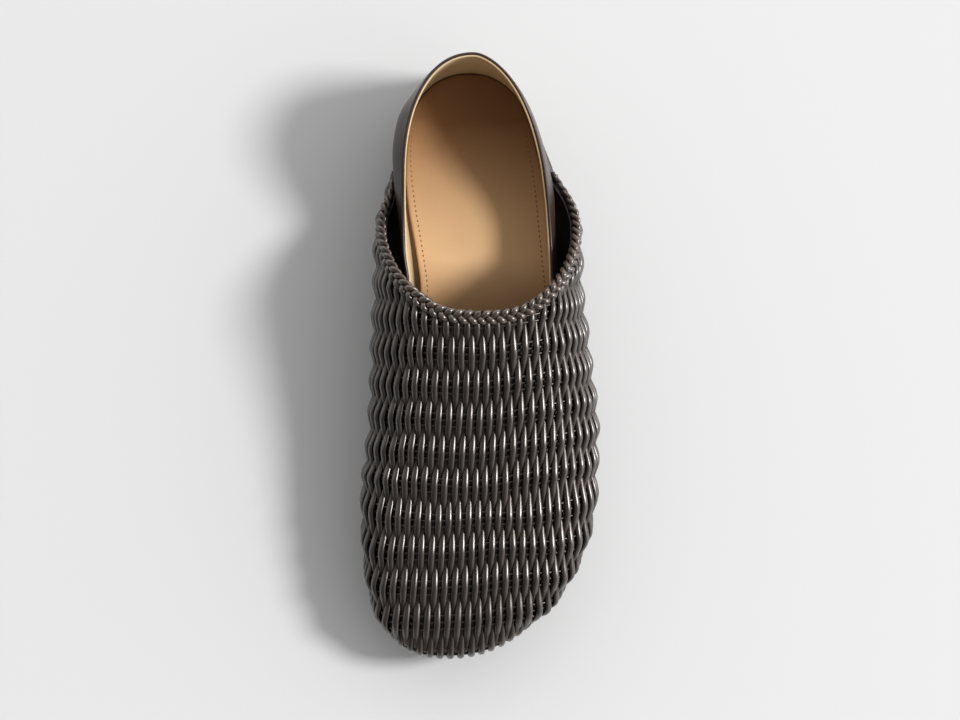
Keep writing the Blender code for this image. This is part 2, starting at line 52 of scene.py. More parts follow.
BALL_Y = -60.0
TOE_TIP_X = -13.0
INSOLE_TOE_Y = -134.0
TOE_POWER = {MEDIAL: 3.1, LATERAL: 1.93}
HEEL_START_Y = 100.0
HEEL_TIP_X = -4.0
INSOLE_HEEL_Y = 135.0
HEEL_POWER = {MEDIAL: 2.2, LATERAL: 2.0}
HEEL_SLANT = {MEDIAL: 0.05, LATERAL: 0.25}
WALL_INSIDE = 2.6
WING_ROOM_FRONT = 0.5
WING_ROOM = 3.2
WING_ROOM_OPENS = (-14, 6)
QUARTER_THICK = 2.2
SOCK_GAP = 0.6
SOLE_THICK = 5.0
SOLE_REST = 0.05
SOLE_PAST_VAMP = 1.5
SOLE_PAST_QUARTER = 0.5
SOLE_NARROWS = (78, 120)
SOLE_DARK = (0.020, 0.013, 0.010)
SOLE_LIGHT = (0.052, 0.036, 0.027)
ROUND_POINTS = 90
WAIST_POINTS = 160
EDGE_STEPS = 220
SOFTEN_PASSES = 150
SOFTEN_SHARES = (0.5, -0.506)
WELD_WITHIN = 1e-7
SHEET_CREASE = math.radians(50)

SideRow = namedtuple("SideRow", "y medial lateral")
INSOLE_SIDES = (
    SideRow(-60, -47.2, 47.8),
    SideRow(-35, -44.5, 47.0),
    SideRow(-8, -38.5, 43.4),
    SideRow(16, -32.6, 39.0),
    SideRow(33, -29.8, 36.0),
    SideRow(50, -31.2, 34.2),
    SideRow(72, -33.8, 32.2),
    SideRow(88, -34.4, 29.9),
    SideRow(100, -33.8, 27.0),
)
LevelRow = namedtuple("LevelRow", "y z")
SOLE_UNDER = (
    LevelRow(-142, 8.5),
    LevelRow(-122, 3.6),
    LevelRow(-100, 0.7),
    LevelRow(-82, 0.0),
    LevelRow(-14, 0.0),
    LevelRow(16, 3.6),
    LevelRow(44, 9.6),
    LevelRow(66, 12.4),
    LevelRow(100, 13.0),
    LevelRow(142, 13.4),
)
RimLevel = namedtuple("RimLevel", "inset height")
SOLE_RIM = (
    RimLevel(6.0, SOLE_REST),
    RimLevel(1.6, SOLE_REST),
    RimLevel(0.9, 0.15),
    RimLevel(0.4, 0.45),
    RimLevel(0.1, 0.95),
    RimLevel(0.0, 1.6),
    RimLevel(0.0, 3.2),
    RimLevel(0.15, 4.0),
    RimLevel(0.5, 4.55),
    RimLevel(1.0, 4.85),
    RimLevel(1.7, SOLE_THICK),
    RimLevel(6.0, SOLE_THICK),
)


def smooth(rows, column, y):
    """Value of a table's column at y, on a smooth curve through its rows that never overshoots."""
    ys = np.array([row.y for row in rows], float)
    values = np.array([getattr(row, column) for row in rows], float)
    steps = np.diff(values) / np.diff(ys)
    product = steps[:-1] * steps[1:]
    total = np.where(product > 0, steps[:-1] + steps[1:], 1.0)
    inner = np.where(product > 0, 2 * product / total, 0.0)
    slopes = np.concatenate([steps[:1], inner, steps[-1:]])
    y = np.clip(y, ys[0], ys[-1])
    i = np.clip(np.searchsorted(ys, y, side="right") - 1, 0, len(ys) - 2)
    span = ys[i + 1] - ys[i]
    t = (y - ys[i]) / span
    start = (1 + 2 * t) * (1 - t) ** 2 * values[i] + t * (1 - t) ** 2 * span * slopes[i]
    end = t * t * (3 - 2 * t) * values[i + 1] + t * t * (t - 1) * span * slopes[i + 1]
    return start + end


def ease(value, low, high):
    """0 below low, 1 above high and a smooth step between."""
    t = np.clip((value - low) / (high - low), 0.0, 1.0)
    return t * t * (3 - 2 * t)


def drawn_in(slant, reach, t):
    """How far a heel's curve lies inside its round at share t of its reach, as it starts on a slant."""
    return slant * reach * t * (1 - t) ** 2


def edge_x(side, y, margin):
    """Plan x, at y, of the line that runs margin outside the insole's edge."""
    half = np.abs(smooth(INSOLE_SIDES, COLUMN[side], BALL_Y) - TOE_TIP_X) + margin
    ahead = np.clip((BALL_Y - y) / (BALL_Y - INSOLE_TOE_Y + margin), 0.0, 1.0)
    toe = TOE_TIP_X + side * half * (1 - ahead ** TOE_POWER[side]) ** (1 / TOE_POWER[side])
    half = np.abs(smooth(INSOLE_SIDES, COLUMN[side], HEEL_START_Y) - HEEL_TIP_X) + margin
    reach = INSOLE_HEEL_Y + margin - HEEL_START_Y
    behind = np.clip((y - HEEL_START_Y) / reach, 0.0, 1.0)
    across = half * (1 - behind ** HEEL_POWER[side]) ** (1 / HEEL_POWER[side])
    heel = HEEL_TIP_X + side * (across - drawn_in(HEEL_SLANT[side], reach, behind))
    waist = smooth(INSOLE_SIDES, COLUMN[side], y) + side * margin
    return np.where(y < BALL_Y, toe, np.where(y > HEEL_START_Y, heel, waist))


def sole_under(y):
    """Level of the outsole's under side."""
    return smooth(SOLE_UNDER, "z", y)


def wing_room(y):
    """Space between the insole's edge and the woven wall: wide where the quarter's wings pass."""
    return WING_ROOM_FRONT + (WING_ROOM - WING_ROOM_FRONT) * ease(y, *WING_ROOM_OPENS)


def sole_margin(side, y):
    """How far the outsole reaches beyond the insole on either side: under the weave, then the quarter."""
    under_vamp = wing_room(y) + WALL_INSIDE + SOLE_PAST_VAMP
    under_quarter = SOCK_GAP + QUARTER_THICK + SOLE_PAST_QUARTER
    return under_vamp + (under_quarter - under_vamp) * ease(y, *SOLE_NARROWS)


def way_along(line):
    """Distance of each of a line's points from its start."""
    return np.concatenate([[0], np.cumsum(np.linalg.norm(np.diff(line, axis=0), axis=1))])


def even_steps(line, count):
    """The same line with its points at even distances."""
    lengths = way_along(line)
    at = np.linspace(0, lengths[-1], count)
    return np.column_stack([np.interp(at, lengths, values) for values in line.T])


def soften(points, passes):
    """Closed line of points with its corners taken off, without drawing it in."""
    for share in SOFTEN_SHARES * passes:
        points = points + share * ((np.roll(points, 1, 0) + np.roll(points, -1, 0)) / 2 - points)
    return points


def plan_sides(margin, inset):
    """Plan lines of a sole piece's medial and lateral edges, from the toe's tip to the heel's tip."""
    toe_y = INSOLE_TOE_Y - margin(LATERAL, INSOLE_TOE_Y) + inset
    heel_y = INSOLE_HEEL_Y + margin(LATERAL, INSOLE_HEEL_Y) - inset
    turn = np.sin(np.linspace(0, math.pi / 2, ROUND_POINTS))
    toe = BALL_Y + (toe_y - BALL_Y) * turn[::-1]
    waist = np.linspace(BALL_Y, HEEL_START_Y, WAIST_POINTS)[1:-1]
    y = np.concatenate([toe, waist, HEEL_START_Y + (heel_y - HEEL_START_Y) * turn])
    sides = []
    for side in (MEDIAL, LATERAL):
        line = np.column_stack([edge_x(side, y, margin(side, y) - inset), y])
        sides.append(even_steps(line, EDGE_STEPS))
    loop = soften(np.vstack([sides[0], sides[1][-2:0:-1]]), SOFTEN_PASSES)
    return loop[:EDGE_STEPS], np.vstack([loop[:1], loop[:EDGE_STEPS - 2:-1]])


def add_object(name, mesh, crease, finish):
    """Smooth object from a mesh, which keeps its edges that turn more than the crease angle."""
    mesh.shade_smooth()
    mesh.set_sharp_from_angle(angle=crease)
    mesh.materials.append(finish)
    made = bpy.data.objects.new(name, mesh)
    bpy.context.scene.collection.objects.link(made)
    return made


def add_mesh(name, points, faces, finish):
    """Object from points in millimetres on the last, closed up, with its faces outward."""
    mesh = bpy.data.meshes.new(name)
    mesh.from_pydata((np.asarray(points) + PLACE) * MM, [], faces)
    bm = bmesh.new()
    bm.from_mesh(mesh)
    bmesh.ops.remove_doubles(bm, verts=bm.verts, dist=WELD_WITHIN)
    bmesh.ops.recalc_face_normals(bm, faces=bm.faces)
    bm.to_mesh(mesh)
    bm.free()
    return add_object(name, mesh, SHEET_CREASE, finish)


def slab(name, rings, finish):
    """Solid through closed rings, each a front-to-heel line and its return, capped across."""
    count = len(rings[0])
    faces = []
    for r in range(len(rings) - 1):
        for i in range(count):
            k = (i + 1) % count
            faces.append((r * count + i, r * count + k, (r + 1) * count + k, (r + 1) * count + i))
    for start in (0, (len(rings) - 1) * count):
        for i in range(count // 2 - 1):
            faces.append((start + i, start + i + 1, start + count - 2 - i, start + count - 1 - i))
    return add_mesh(name, np.concatenate(rings), faces, finish)


def ring(inset, margin, level, first_y=-math.inf):
    """Ring of a sole piece: both sides' lines at an inset, from first_y back, lifted to level(y)."""
    lines = []
    for line in plan_sides(margin, inset):
        if first_y > line[0, 1]:
            start = [np.interp(first_y, line[:, 1], line[:, 0]), first_y]
            line = even_steps(np.vstack([start, line[line[:, 1] > first_y]]), EDGE_STEPS)
        lines.append(line)
    loop = np.vstack([lines[0], lines[1][::-1]])
    return np.column_stack([loop, level(loop[:, 1])])


class Wire:
    """A socket in a material's nodes. Arithmetic on wires adds Math nodes."""

    def __init__(self, socket):
        self.socket = socket

    @staticmethod
    def node(tree, kind, settings, sockets, output=0):
        """New node of a kind: its settings first, then the values or wires of its sockets."""
        made = tree.nodes.new("ShaderNode" + kind)
        for name, value in settings.items():
            if name == "stops":
                for stop, (position, grey) in zip(made.color_ramp.elements, value):
                    stop.position = position
                    stop.color = (grey, grey, grey, 1.0)
            else:
                setattr(made, name, value)
        for key, value in sockets.items():
            if isinstance(value, Wire):
                tree.links.new(value.socket, made.inputs[key])
            else:
                made.inputs[key].default_value = value
        return Wire(made.outputs[output]) if made.outputs else None

    def math(self, operation, first, second):
        return Wire.node(self.socket.id_data, "Math", {"operation": operation}, {0: first, 1: second})

    def __add__(self, other):
        return self.math("ADD", self, other)

    def __sub__(self, other):
        return self.math("SUBTRACT", self, other)

    def __rsub__(self, other):
        return self.math("SUBTRACT", other, self)

    def __mul__(self, other):
        return self.math("MULTIPLY", self, other)

    __radd__ = __add__
    __rmul__ = __mul__

    def tint(self, low, high):
        """Colour that goes from low to high as this wire goes from 0 to 1."""
        sockets = {0: self}
        for key, colour in ((6, low), (7, high)):
            sockets[key] = colour if isinstance(colour, Wire) else (*colour, 1.0)
        return Wire.node(self.socket.id_data, "Mix", {"data_type": "RGBA"}, sockets, 2)

    def ramp(self, low, high):
        """0 up to low, 1 from high."""
        return Wire.node(self.socket.id_data, "ValToRGB", {"stops": ((low, 0.0), (high, 1.0))}, {0: self})


def start_finish(name):
    """New material and its empty nodes."""
    made = bpy.data.materials.new(name)
    made.use_nodes = True
    made.node_tree.nodes.clear()
    return made, made.node_tree


def end_finish(tree, sockets):
    """The surface itself, with the values or wires of its sockets."""
    shader = Wire.node(tree, "BsdfPrincipled", {}, sockets)
    Wire.node(tree, "OutputMaterial", {}, {"Surface": shader})


def noise(tree, size_mm, detail, stretch=None):
    """Cloudy pattern over the piece, with features of a size."""
    where = Wire.node(tree, "TexCoord", {}, {}, "Object")
    if stretch:
        where = Wire.node(tree, "Mapping", {}, {"Vector": where, "Scale": stretch})
    return Wire.node(tree, "TexNoise", {}, {"Vector": where, "Scale": 1 / (size_mm * MM), "Detail": detail})


def bump(tree, height, depth_mm, strength):
    """Normal of a surface that a pattern raises by a depth."""
    return Wire.node(tree, "Bump", {}, {"Strength": strength, "Distance": depth_mm * MM, "Height": height})


def sole_leather(name, dark, light):
    """Matt bend leather: open pores, and scuffs that run along the shoe."""
    made, tree = start_finish(name)
    scuffs = noise(tree, size_mm=9.0, detail=5.0, stretch=(1.0, 0.25, 1.0)).ramp(low=0.42, high=0.72)
    pores = noise(tree, size_mm=0.5, detail=3.0)
    end_finish(tree, {
        "Base Color": (scuffs * 0.6 + pores * 0.4).tint(dark, light),
        "Roughness": 0.42 + scuffs * 0.18 + pores * 0.08,
        "Normal": bump(tree, pores + scuffs * 0.5, depth_mm=0.08, strength=0.45),
    })
    return made


sole_rings = [ring(rim.inset, sole_margin, lambda y: sole_under(y) + rim.height) for rim in SOLE_RIM]
outsole = slab("outsole_leather", sole_rings, sole_leather("sole leather", SOLE_DARK, SOLE_LIGHT))
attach(outsole, "root")
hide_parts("outsole")


# Heel block: three lifts of sole leather over a harder top piece, pressed, glued and trimmed together. The
# joints show as fine lines round the side.
HEEL_BREAST_Y = 68.0
HEEL_INSET_TOP = 0.4
HEEL_INSET_FLOOR = 2.2
HEEL_JOINTS = (0.34, 0.56, 0.78)
HEEL_JOINT_DEPTH = 0.3
HEEL_JOINT_HALF = 0.014
HEEL_FOOT_EDGE = (RimLevel(0.8, 0.0), RimLevel(0.25, 0.012), RimLevel(0.0, 0.05))
HEEL_TOP_EDGE = (RimLevel(0.0, 0.975), RimLevel(0.3, 0.99))
HEEL_DARK = (0.024, 0.015, 0.011)
HEEL_LIGHT = (0.060, 0.040, 0.029)

heel_levels = list(HEEL_FOOT_EDGE)
for joint in HEEL_JOINTS:
    heel_levels.append(RimLevel(0.0, joint - HEEL_JOINT_HALF))
    heel_levels.append(RimLevel(HEEL_JOINT_DEPTH, joint))
    heel_levels.append(RimLevel(0.0, joint + HEEL_JOINT_HALF))
heel_levels += HEEL_TOP_EDGE
heel_rings = []
for level in heel_levels:
    inset = HEEL_INSET_FLOOR + (HEEL_INSET_TOP - HEEL_INSET_FLOOR) * level.height + level.inset
    heel_rings.append(ring(inset, sole_margin, lambda y: sole_under(y) * level.height, HEEL_BREAST_Y))
heel = slab("heel_stack", heel_rings, sole_leather("heel stack", HEEL_DARK, HEEL_LIGHT))
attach(heel, "root")
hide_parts("heel_block")


# Insole: a smooth tan calf sock on a 3 mm board, its edge skived round and a little dished under the foot.
# A row of small stitches runs round it, nearer the edge at the heel than at the waist.
INSOLE_THICK = 3.0
MEET_GAP = 0.3
INSOLE_RIM = (
    RimLevel(1.0, 0.0),
    RimLevel(0.2, 0.3),
    RimLevel(0.0, 0.8),
    RimLevel(0.0, 2.2),
    RimLevel(0.15, 2.65),
    RimLevel(0.5, 2.9),
    RimLevel(1.1, INSOLE_THICK),
)
SOCK_SPREAD = 0.5
SOCK_SPREADS = (62, 92)
SOCK_STAND_OFF = {MEDIAL: 2.4, LATERAL: 0.0}
STAND_OFF_STARTS = (-40, 0)
STAND_OFF_ENDS = (22, 90)
DISH = 0.7
DISH_SLOPE = (1.0, 24.0)
DISH_INSETS = (2.0, 3.5, 5.5, 8.0, 11.0, 14.0, 17.0, 20.0, 23.0)
CALF_LOW = (0.605, 0.380, 0.195)
CALF_HIGH = (0.730, 0.470, 0.258)
# Colour the sock darkens to: burnished leather and painted shade at the heel, painted shade at the front.
CALF_BURNISHED_AND_SHADED = (0.215, 0.105, 0.042)
HEEL_DARKENS_FROM_Y = 55.0
HEEL_DARKENS_LENGTH = 70.0
# Painted shade: the sock is painted darker towards the front, where the vamp shades it.
FRONT_SHADE_TO_Y = 48.0
FRONT_SHADE_LENGTH = 32.0
FRONT_SHADE_DEPTH = 0.75
STITCH_PITCH = 2.4
STITCH_LENGTH = 1.15
STITCH_REACH = 0.5
STITCH_HALF_WIDTH = 0.34
STITCH_RISE = 0.16
STITCH_INSET = (
    SideRow(-60, 5.4, 4.6),
    SideRow(36, 3.2, 3.8),
    SideRow(50, 3.1, 4.0),
    SideRow(66, 3.3, 4.4),
    SideRow(85, 2.9, 4.5),
    SideRow(100, 2.0, 3.8),
    SideRow(140, 2.6, 2.6),
)
STITCH_FIRST_Y = -50.0
STITCH_BASE_INSET = 3.0
STITCH_LINES_MEET = (104, 128)
STITCH_SIDES = 8
STITCH_RINGS = 7
THREAD_DARK = (0.150, 0.078, 0.038)
THREAD_LIGHT = (0.230, 0.125, 0.062)


def insole_margin(side, y):
    """The sock comes up to the lining round the heel and stands off it along the medial waist."""
    stand_off = SOCK_STAND_OFF[side] * ease(y, *STAND_OFF_STARTS) * (1 - ease(y, *STAND_OFF_ENDS))
    return SOCK_SPREAD * ease(y, *SOCK_SPREADS) - stand_off


def insole_seat(y):
    """Level that the insole and the quarter's foot stand on."""
    return sole_under(y) + SOLE_THICK + MEET_GAP


def dish_at(inset):
    """How far the insole's face lies below its rim."""
    return DISH * ease(inset, *DISH_SLOPE)


def place_along(tree, axis):
    """Place on the piece along one axis, in metres."""
    where = Wire.node(tree, "TexCoord", {}, {}, "Object")
    return Wire.node(tree, "SeparateXYZ", {}, {0: where}, axis)


insole_rings = [ring(rim.inset, insole_margin, lambda y: insole_seat(y) + rim.height) for rim in INSOLE_RIM]
for inset in DISH_INSETS:
    insole_rings.append(ring(inset, insole_margin, lambda y: insole_seat(y) + INSOLE_THICK - dish_at(inset)))

calf, tree = start_finish("tan calf")
patches = noise(tree, size_mm=26.0, detail=3.0)
grain = noise(tree, size_mm=0.55, detail=4.0)
back = place_along(tree, "Y") * (1 / MM)
# Darker towards the heel: partly burnished leather, partly painted shade from the heel's back wall.
heel_burnish_and_shade = ((back - HEEL_DARKENS_FROM_Y) * (1 / HEEL_DARKENS_LENGTH) + patches * 0.3).ramp(low=0.1, high=1.0)
# Painted shade: darker towards the front of the sock, under the vamp.
painted_front_shade = ((FRONT_SHADE_TO_Y - back) * (1 / FRONT_SHADE_LENGTH)).ramp(low=0.0, high=1.0)
clean = (patches * 0.7 + grain * 0.3).ramp(low=0.3, high=0.75).tint(CALF_LOW, CALF_HIGH)
end_finish(tree, {
    "Base Color": (heel_burnish_and_shade + painted_front_shade * FRONT_SHADE_DEPTH).tint(clean, CALF_BURNISHED_AND_SHADED),
    "Roughness": 0.46 + grain * 0.16,
    "Specular IOR Level": 0.18,
    "Normal": bump(tree, grain, depth_mm=0.05, strength=0.35),
})
insole = slab("insole_calf", insole_rings, calf)
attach(insole, "root")
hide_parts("insole")


def stitch_line(side):
    """Plan line of the insole's stitches on one side."""
    line = plan_sides(insole_margin, STITCH_BASE_INSET)[0 if side == MEDIAL else 1].copy()
    further_in = smooth(STITCH_INSET, COLUMN[side], line[:, 1]) - STITCH_BASE_INSET
    line[:, 0] -= side * further_in * (1 - ease(line[:, 1], *STITCH_LINES_MEET))
    return line


def stitches_along(line):
    """Points and faces of the little rounded threads along a plan line of the insole's upper face."""
    lengths = way_along(line)
    turn = np.linspace(0, 2 * math.pi, STITCH_SIDES, endpoint=False)
    points = []
    faces = []
    for at in np.arange(STITCH_PITCH / 2, lengths[-1], STITCH_PITCH):
        centre = np.array([np.interp(at, lengths, values) for values in line.T])
        ahead = np.array([np.interp(at + STITCH_REACH, lengths, values) for values in line.T]) - centre
        ahead /= np.linalg.norm(ahead)
        across = np.array([-ahead[1], ahead[0]])
        first = len(points)
        for along in np.linspace(-1, 1, STITCH_RINGS):
            size = math.sqrt(max(1 - along * along, 0.02))
            for angle in turn:
                flat = centre + ahead * along * STITCH_LENGTH / 2
                flat = flat + across * STITCH_HALF_WIDTH * size * math.cos(angle)
                level = insole_seat(flat[1]) + INSOLE_THICK - dish_at(STITCH_BASE_INSET)
                points.append((*flat, level + STITCH_RISE * size * math.sin(angle)))
        last = first + (STITCH_RINGS - 1) * STITCH_SIDES
        for start in range(first, last, STITCH_SIDES):
            for i in range(STITCH_SIDES):
                a = start + i
                b = start + (i + 1) % STITCH_SIDES
                faces.append((a, b, b + STITCH_SIDES, a + STITCH_SIDES))
        faces.append(tuple(range(first, first + STITCH_SIDES)))
        faces.append(tuple(range(last, last + STITCH_SIDES)))
    return points, faces


seam = np.vstack([stitch_line(MEDIAL), stitch_line(LATERAL)[-2::-1]])
thread_points, thread_faces = stitches_along(seam[seam[:, 1] > STITCH_FIRST_Y])
waxed_thread, tree = start_finish("waxed thread")
twist = noise(tree, size_mm=0.3, detail=2.0)
end_finish(tree, {
    "Base Color": twist.tint(THREAD_DARK, THREAD_LIGHT),
    "Roughness": 0.55 + twist * 0.2,
})
insole_stitches = add_mesh("insole_stitches", thread_points, thread_faces, waxed_thread)
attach(insole_stitches, "root")


# Heel quarter: a soft low back of smooth dark brown calf, its top edge creased and inked, with a tan lining
# glued inside whose raw edge shows as a pale line. Its wings run forward inside the woven vamp.
WING_FRONT_Y = 8.0
QUARTER_TOP_START_Y = 86.0
QUARTER_TOP_HEEL_Y = 142.0
QUARTER_TOP_POWER = {MEDIAL: 2.2, LATERAL: 1.68}
QUARTER_TOP_SLANT = {MEDIAL: 0.0, LATERAL: 0.15}
QUARTER_TURN = 0.46
QUARTER_STEPS = 110
OUTER_THICK = 1.3
CREASE_DROP = 2.6
CREASE_DEPTH = 0.16
CREASE_HALF = 0.5
GLUE_THICK = 0.05
LINING_DROP = 0.25
LINING_TURN_IN = 4.5
# Painted shade: height below which the lining is painted dark brown, for the gap beside the insole.
LINING_SHADE_TOP_Z = 22.0
QUARTER_LEVELS = 41
QUARTER_DARK = (0.022, 0.0125, 0.0098)
QUARTER_LIGHT = (0.042, 0.0250, 0.0195)
LINING_LOW = (0.480, 0.345, 0.190)
LINING_HIGH = (0.610, 0.455, 0.270)
LINING_SHADED_FOOT = (0.055, 0.027, 0.013)
WING_TOP = (
    SideRow(8, -36.0, 41.5),
    SideRow(36, -34.9, 34.7),
    SideRow(48, -36.6, 34.2),
    SideRow(70, -37.2, 32.6),
    SideRow(86, -37.3, 30.4),
)
QUARTER_SWELL = (
    SideRow(8, 1.2, 1.2),
    SideRow(60, 1.4, 1.6),
    SideRow(80, 3.2, 2.6),
    SideRow(98, 4.6, 1.8),
    SideRow(112, 4.2, 1.1),
    SideRow(126, 1.6, 0.8),
    SideRow(142, 1.0, 1.0),
)
QUARTER_HEIGHT = (
    LevelRow(8, 32.0),
    LevelRow(20, 37.0),
    LevelRow(40, 40.0),
    LevelRow(62, 41.5),
    LevelRow(76, 45.0),
    LevelRow(92, 53.0),
    LevelRow(108, 60.0),
    LevelRow(124, 63.0),
    LevelRow(142, 63.5),
)


def rounded(angle, power):
    """Quarter curve from (0, 1) at angle 0 to (1, 0) at a right angle; power 2 is a circle."""
    return np.sin(angle) ** (2 / power), np.abs(np.cos(angle)) ** (2 / power)


def quarter_line(side, share, start_y, heel_y, power, slant, wing_x):
    """Plan line of the quarter, from the heel's back (share 0) to a wing's end (share 1)."""
    angle = np.clip(share / QUARTER_TURN, 0, 1) * math.pi / 2
    across, back = rounded(angle, power)
    reach = heel_y - start_y
    half = abs(wing_x(start_y) - HEEL_TIP_X)
    round_x = HEEL_TIP_X + side * (half * across - drawn_in(slant, reach, back))
    t = np.clip((share - QUARTER_TURN) / (1 - QUARTER_TURN), 0, 1)
    wing_y = start_y + (WING_FRONT_Y - start_y) * t
    on_wing = share >= QUARTER_TURN
    x = np.where(on_wing, wing_x(wing_y), round_x)
    return x, np.where(on_wing, wing_y, start_y + reach * back)


def quarter_edges(side, share):
    """Foot and top of the quarter's outside."""
    margin = SOCK_GAP + QUARTER_THICK
    foot_x, foot_y = quarter_line(
        side, share, HEEL_START_Y, INSOLE_HEEL_Y + margin, HEEL_POWER[side], HEEL_SLANT[side],
        lambda y: edge_x(side, y, margin))
    top_x, top_y = quarter_line(
        side, share, QUARTER_TOP_START_Y, QUARTER_TOP_HEEL_Y, QUARTER_TOP_POWER[side],
        QUARTER_TOP_SLANT[side], lambda y: smooth(WING_TOP, COLUMN[side], y))
    foot = np.column_stack([foot_x, foot_y, insole_seat(foot_y)])
    return foot, np.column_stack([top_x, top_y, smooth(QUARTER_HEIGHT, "z", top_y)])


def unit(vectors):
    """The same directions, each of length 1."""
    return vectors / np.linalg.norm(vectors, axis=-1, keepdims=True)


def quarter_wall(levels):
    """Outside of the quarter at shares of its height, with its outward directions."""
    shares = np.linspace(1, 0, QUARTER_STEPS)
    sides = []
    for side, run in ((MEDIAL, shares), (LATERAL, shares[-2::-1])):
        foot, top = quarter_edges(side, run)
        wall = foot[:, None] + (top - foot)[:, None] * levels[None, :, None]
        swell = smooth(QUARTER_SWELL, COLUMN[side], wall[:, :, 1]) * np.sin(math.pi * levels)
        sides.append((wall, swell))
    wall = np.concatenate([part[0] for part in sides])
    swell = np.concatenate([part[1] for part in sides])
    for share in SOFTEN_SHARES * SOFTEN_PASSES:
        wall[1:-1] += share * ((wall[:-2] + wall[2:]) / 2 - wall[1:-1])
    flat = unit(np.cross(np.gradient(wall, axis=1), np.gradient(wall, axis=0)))
    flat[:, :, 2] = 0
    wall = wall + flat * swell[:, :, None]
    return wall, unit(np.cross(np.gradient(wall, axis=1), np.gradient(wall, axis=0)))


def shell(name, profile, finish):
    """Wall whose closed section is a profile of (height share, drop below it, depth from the outside)."""
    levels = np.linspace(0, 1, QUARTER_LEVELS)
    wall, outward = quarter_wall(levels)
    sections = []
    for share, drop, depth in profile:
        at = share * (QUARTER_LEVELS - 1)
        i = min(int(at), QUARTER_LEVELS - 2)
        point = wall[:, i] + (wall[:, i + 1] - wall[:, i]) * (at - i)
        out = unit(outward[:, i] + (outward[:, i + 1] - outward[:, i]) * (at - i))
        down = unit(wall[:, i] - wall[:, i + 1])
        if share == 0:
            out = unit(out * np.array([1.0, 1.0, 0.0]))
        sections.append(point + down * drop - out * depth)
    grid = np.stack(sections, axis=1)
    rows, columns = grid.shape[:2]
    faces = []
    for i in range(rows - 1):
        for k in range(columns):
            j = (k + 1) % columns
            faces.append((i * columns + k, (i + 1) * columns + k, (i + 1) * columns + j, i * columns + j))
    faces.append(tuple(range(columns)))
    faces.append(tuple(range((rows - 1) * columns, rows * columns)))
    return add_mesh(name, grid.reshape(-1, 3), faces, finish)


rise = [(share, 0.0, 0.0) for share in np.linspace(0, 0.93, 26)]
crease = [(1.0, CREASE_DROP + CREASE_HALF, 0.0), (1.0, CREASE_DROP, CREASE_DEPTH),
          (1.0, CREASE_DROP - CREASE_HALF, 0.0)]
lip_radius = OUTER_THICK / 2
lip = []
for angle in np.linspace(0.0, math.pi, 9):
    lip.append((1.0, lip_radius * (1 - math.sin(angle)), lip_radius * (1 - math.cos(angle))))
fall = [(share, 0.0, OUTER_THICK) for share in np.linspace(0.97, 0, 24)]
brown_calf, tree = start_finish("brown calf")
grain = noise(tree, size_mm=0.45, detail=4.0)
shade = noise(tree, size_mm=30.0, detail=2.0)
end_finish(tree, {
    "Base Color": (shade * 0.6 + grain * 0.4).ramp(low=0.25, high=0.75).tint(QUARTER_DARK, QUARTER_LIGHT),
    "Roughness": 0.30 + grain * 0.12,
    "Specular IOR Level": 0.3,
    "Coat Weight": 0.10 + shade * 0.15,
    "Coat Roughness": 0.22,
    "Normal": bump(tree, grain, depth_mm=0.05, strength=0.4),
})
quarter = shell("quarter_calf", rise + crease + lip + fall, brown_calf)
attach(quarter, "root")
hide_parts("heel_quarter")

face = [(share, 0.0, QUARTER_THICK) for share in np.linspace(0, 0.96, 26)]
raw_edge = [(1.0, LINING_DROP + 0.5, QUARTER_THICK), (1.0, LINING_DROP + 0.1, QUARTER_THICK - 0.12),
            (1.0, LINING_DROP, QUARTER_THICK - 0.3), (1.0, LINING_DROP, OUTER_THICK + 0.12),
            (1.0, LINING_DROP + 0.4, OUTER_THICK + GLUE_THICK)]
behind = [(share, 0.0, OUTER_THICK + GLUE_THICK) for share in np.linspace(0.96, 0, 20)]
turned_in = [(0.0, 0.25, OUTER_THICK + GLUE_THICK), (0.0, 0.25, QUARTER_THICK + LINING_TURN_IN),
             (0.0, 0.08, QUARTER_THICK + LINING_TURN_IN), (0.0, 0.08, QUARTER_THICK + 0.1)]
tan_lining, tree = start_finish("tan lining")
grain = noise(tree, size_mm=0.5, detail=4.0)
patches = noise(tree, size_mm=18.0, detail=3.0)
# Painted shade: below a set height the lining and its turned-in edge are painted dark brown, for the shade
# in the gap beside the insole.
above_painted_shade = (place_along(tree, "Z") * (1 / (LINING_SHADE_TOP_Z * MM))).ramp(low=0.45, high=1.0)
clean = (patches * 0.6 + grain * 0.4).ramp(low=0.3, high=0.7).tint(LINING_LOW, LINING_HIGH)
end_finish(tree, {
    "Base Color": above_painted_shade.tint(LINING_SHADED_FOOT, clean),
    "Roughness": 0.48 + grain * 0.14,
    "Normal": bump(tree, grain, depth_mm=0.05, strength=0.35),
})
quarter_lining = shell("quarter_lining", face + raw_edge + behind + turned_in, tan_lining)
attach(quarter_lining, "root")
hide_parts("heel_quarter")


# Woven vamp: round cords rolled from strips of dark brown leather, laid side by side from throat to toe.
# Each goes over one row of cross cords and under the next, turn about with its neighbours, and ends at the
# sole. A thin lining backs the weave and stops light through it; its near-black colour is painted shade.
TUCK_ANGLE = math.radians(65)
TOE_OVERHANG = 4.2
TOE_SLOPE = 0.16
TOE_ARCH_POWER = 2.6
TOE_AIM_X = -7.5
TOE_EDGE_POINTS = 160
FAN_AT_TIP = {MEDIAL: 1.0, LATERAL: 1.19}
FAN_AT_BALL = {MEDIAL: 1.33, LATERAL: 1.44}
ARCH_POINTS = 60
TUCK_POINTS = 24
BACK_STEP = 1.5
BACK_LINES = 108
TOE_LINES = 121
LINE_POINTS = 181
FRAME_SHARE = 0.012
FRAME_RUN = 1.0
CORD_BACK_Y = 89.0
TOE_CUT = 0.985
LINING_STEP = 3.0
LINING_POINTS = 44
LINING_TOE_LINES = 40
LINING_DEPTHS = (-2.0, -2.85)
LINING_DARK = (0.010, 0.0068, 0.0056)
LINING_LIGHT = (0.018, 0.0125, 0.0102)

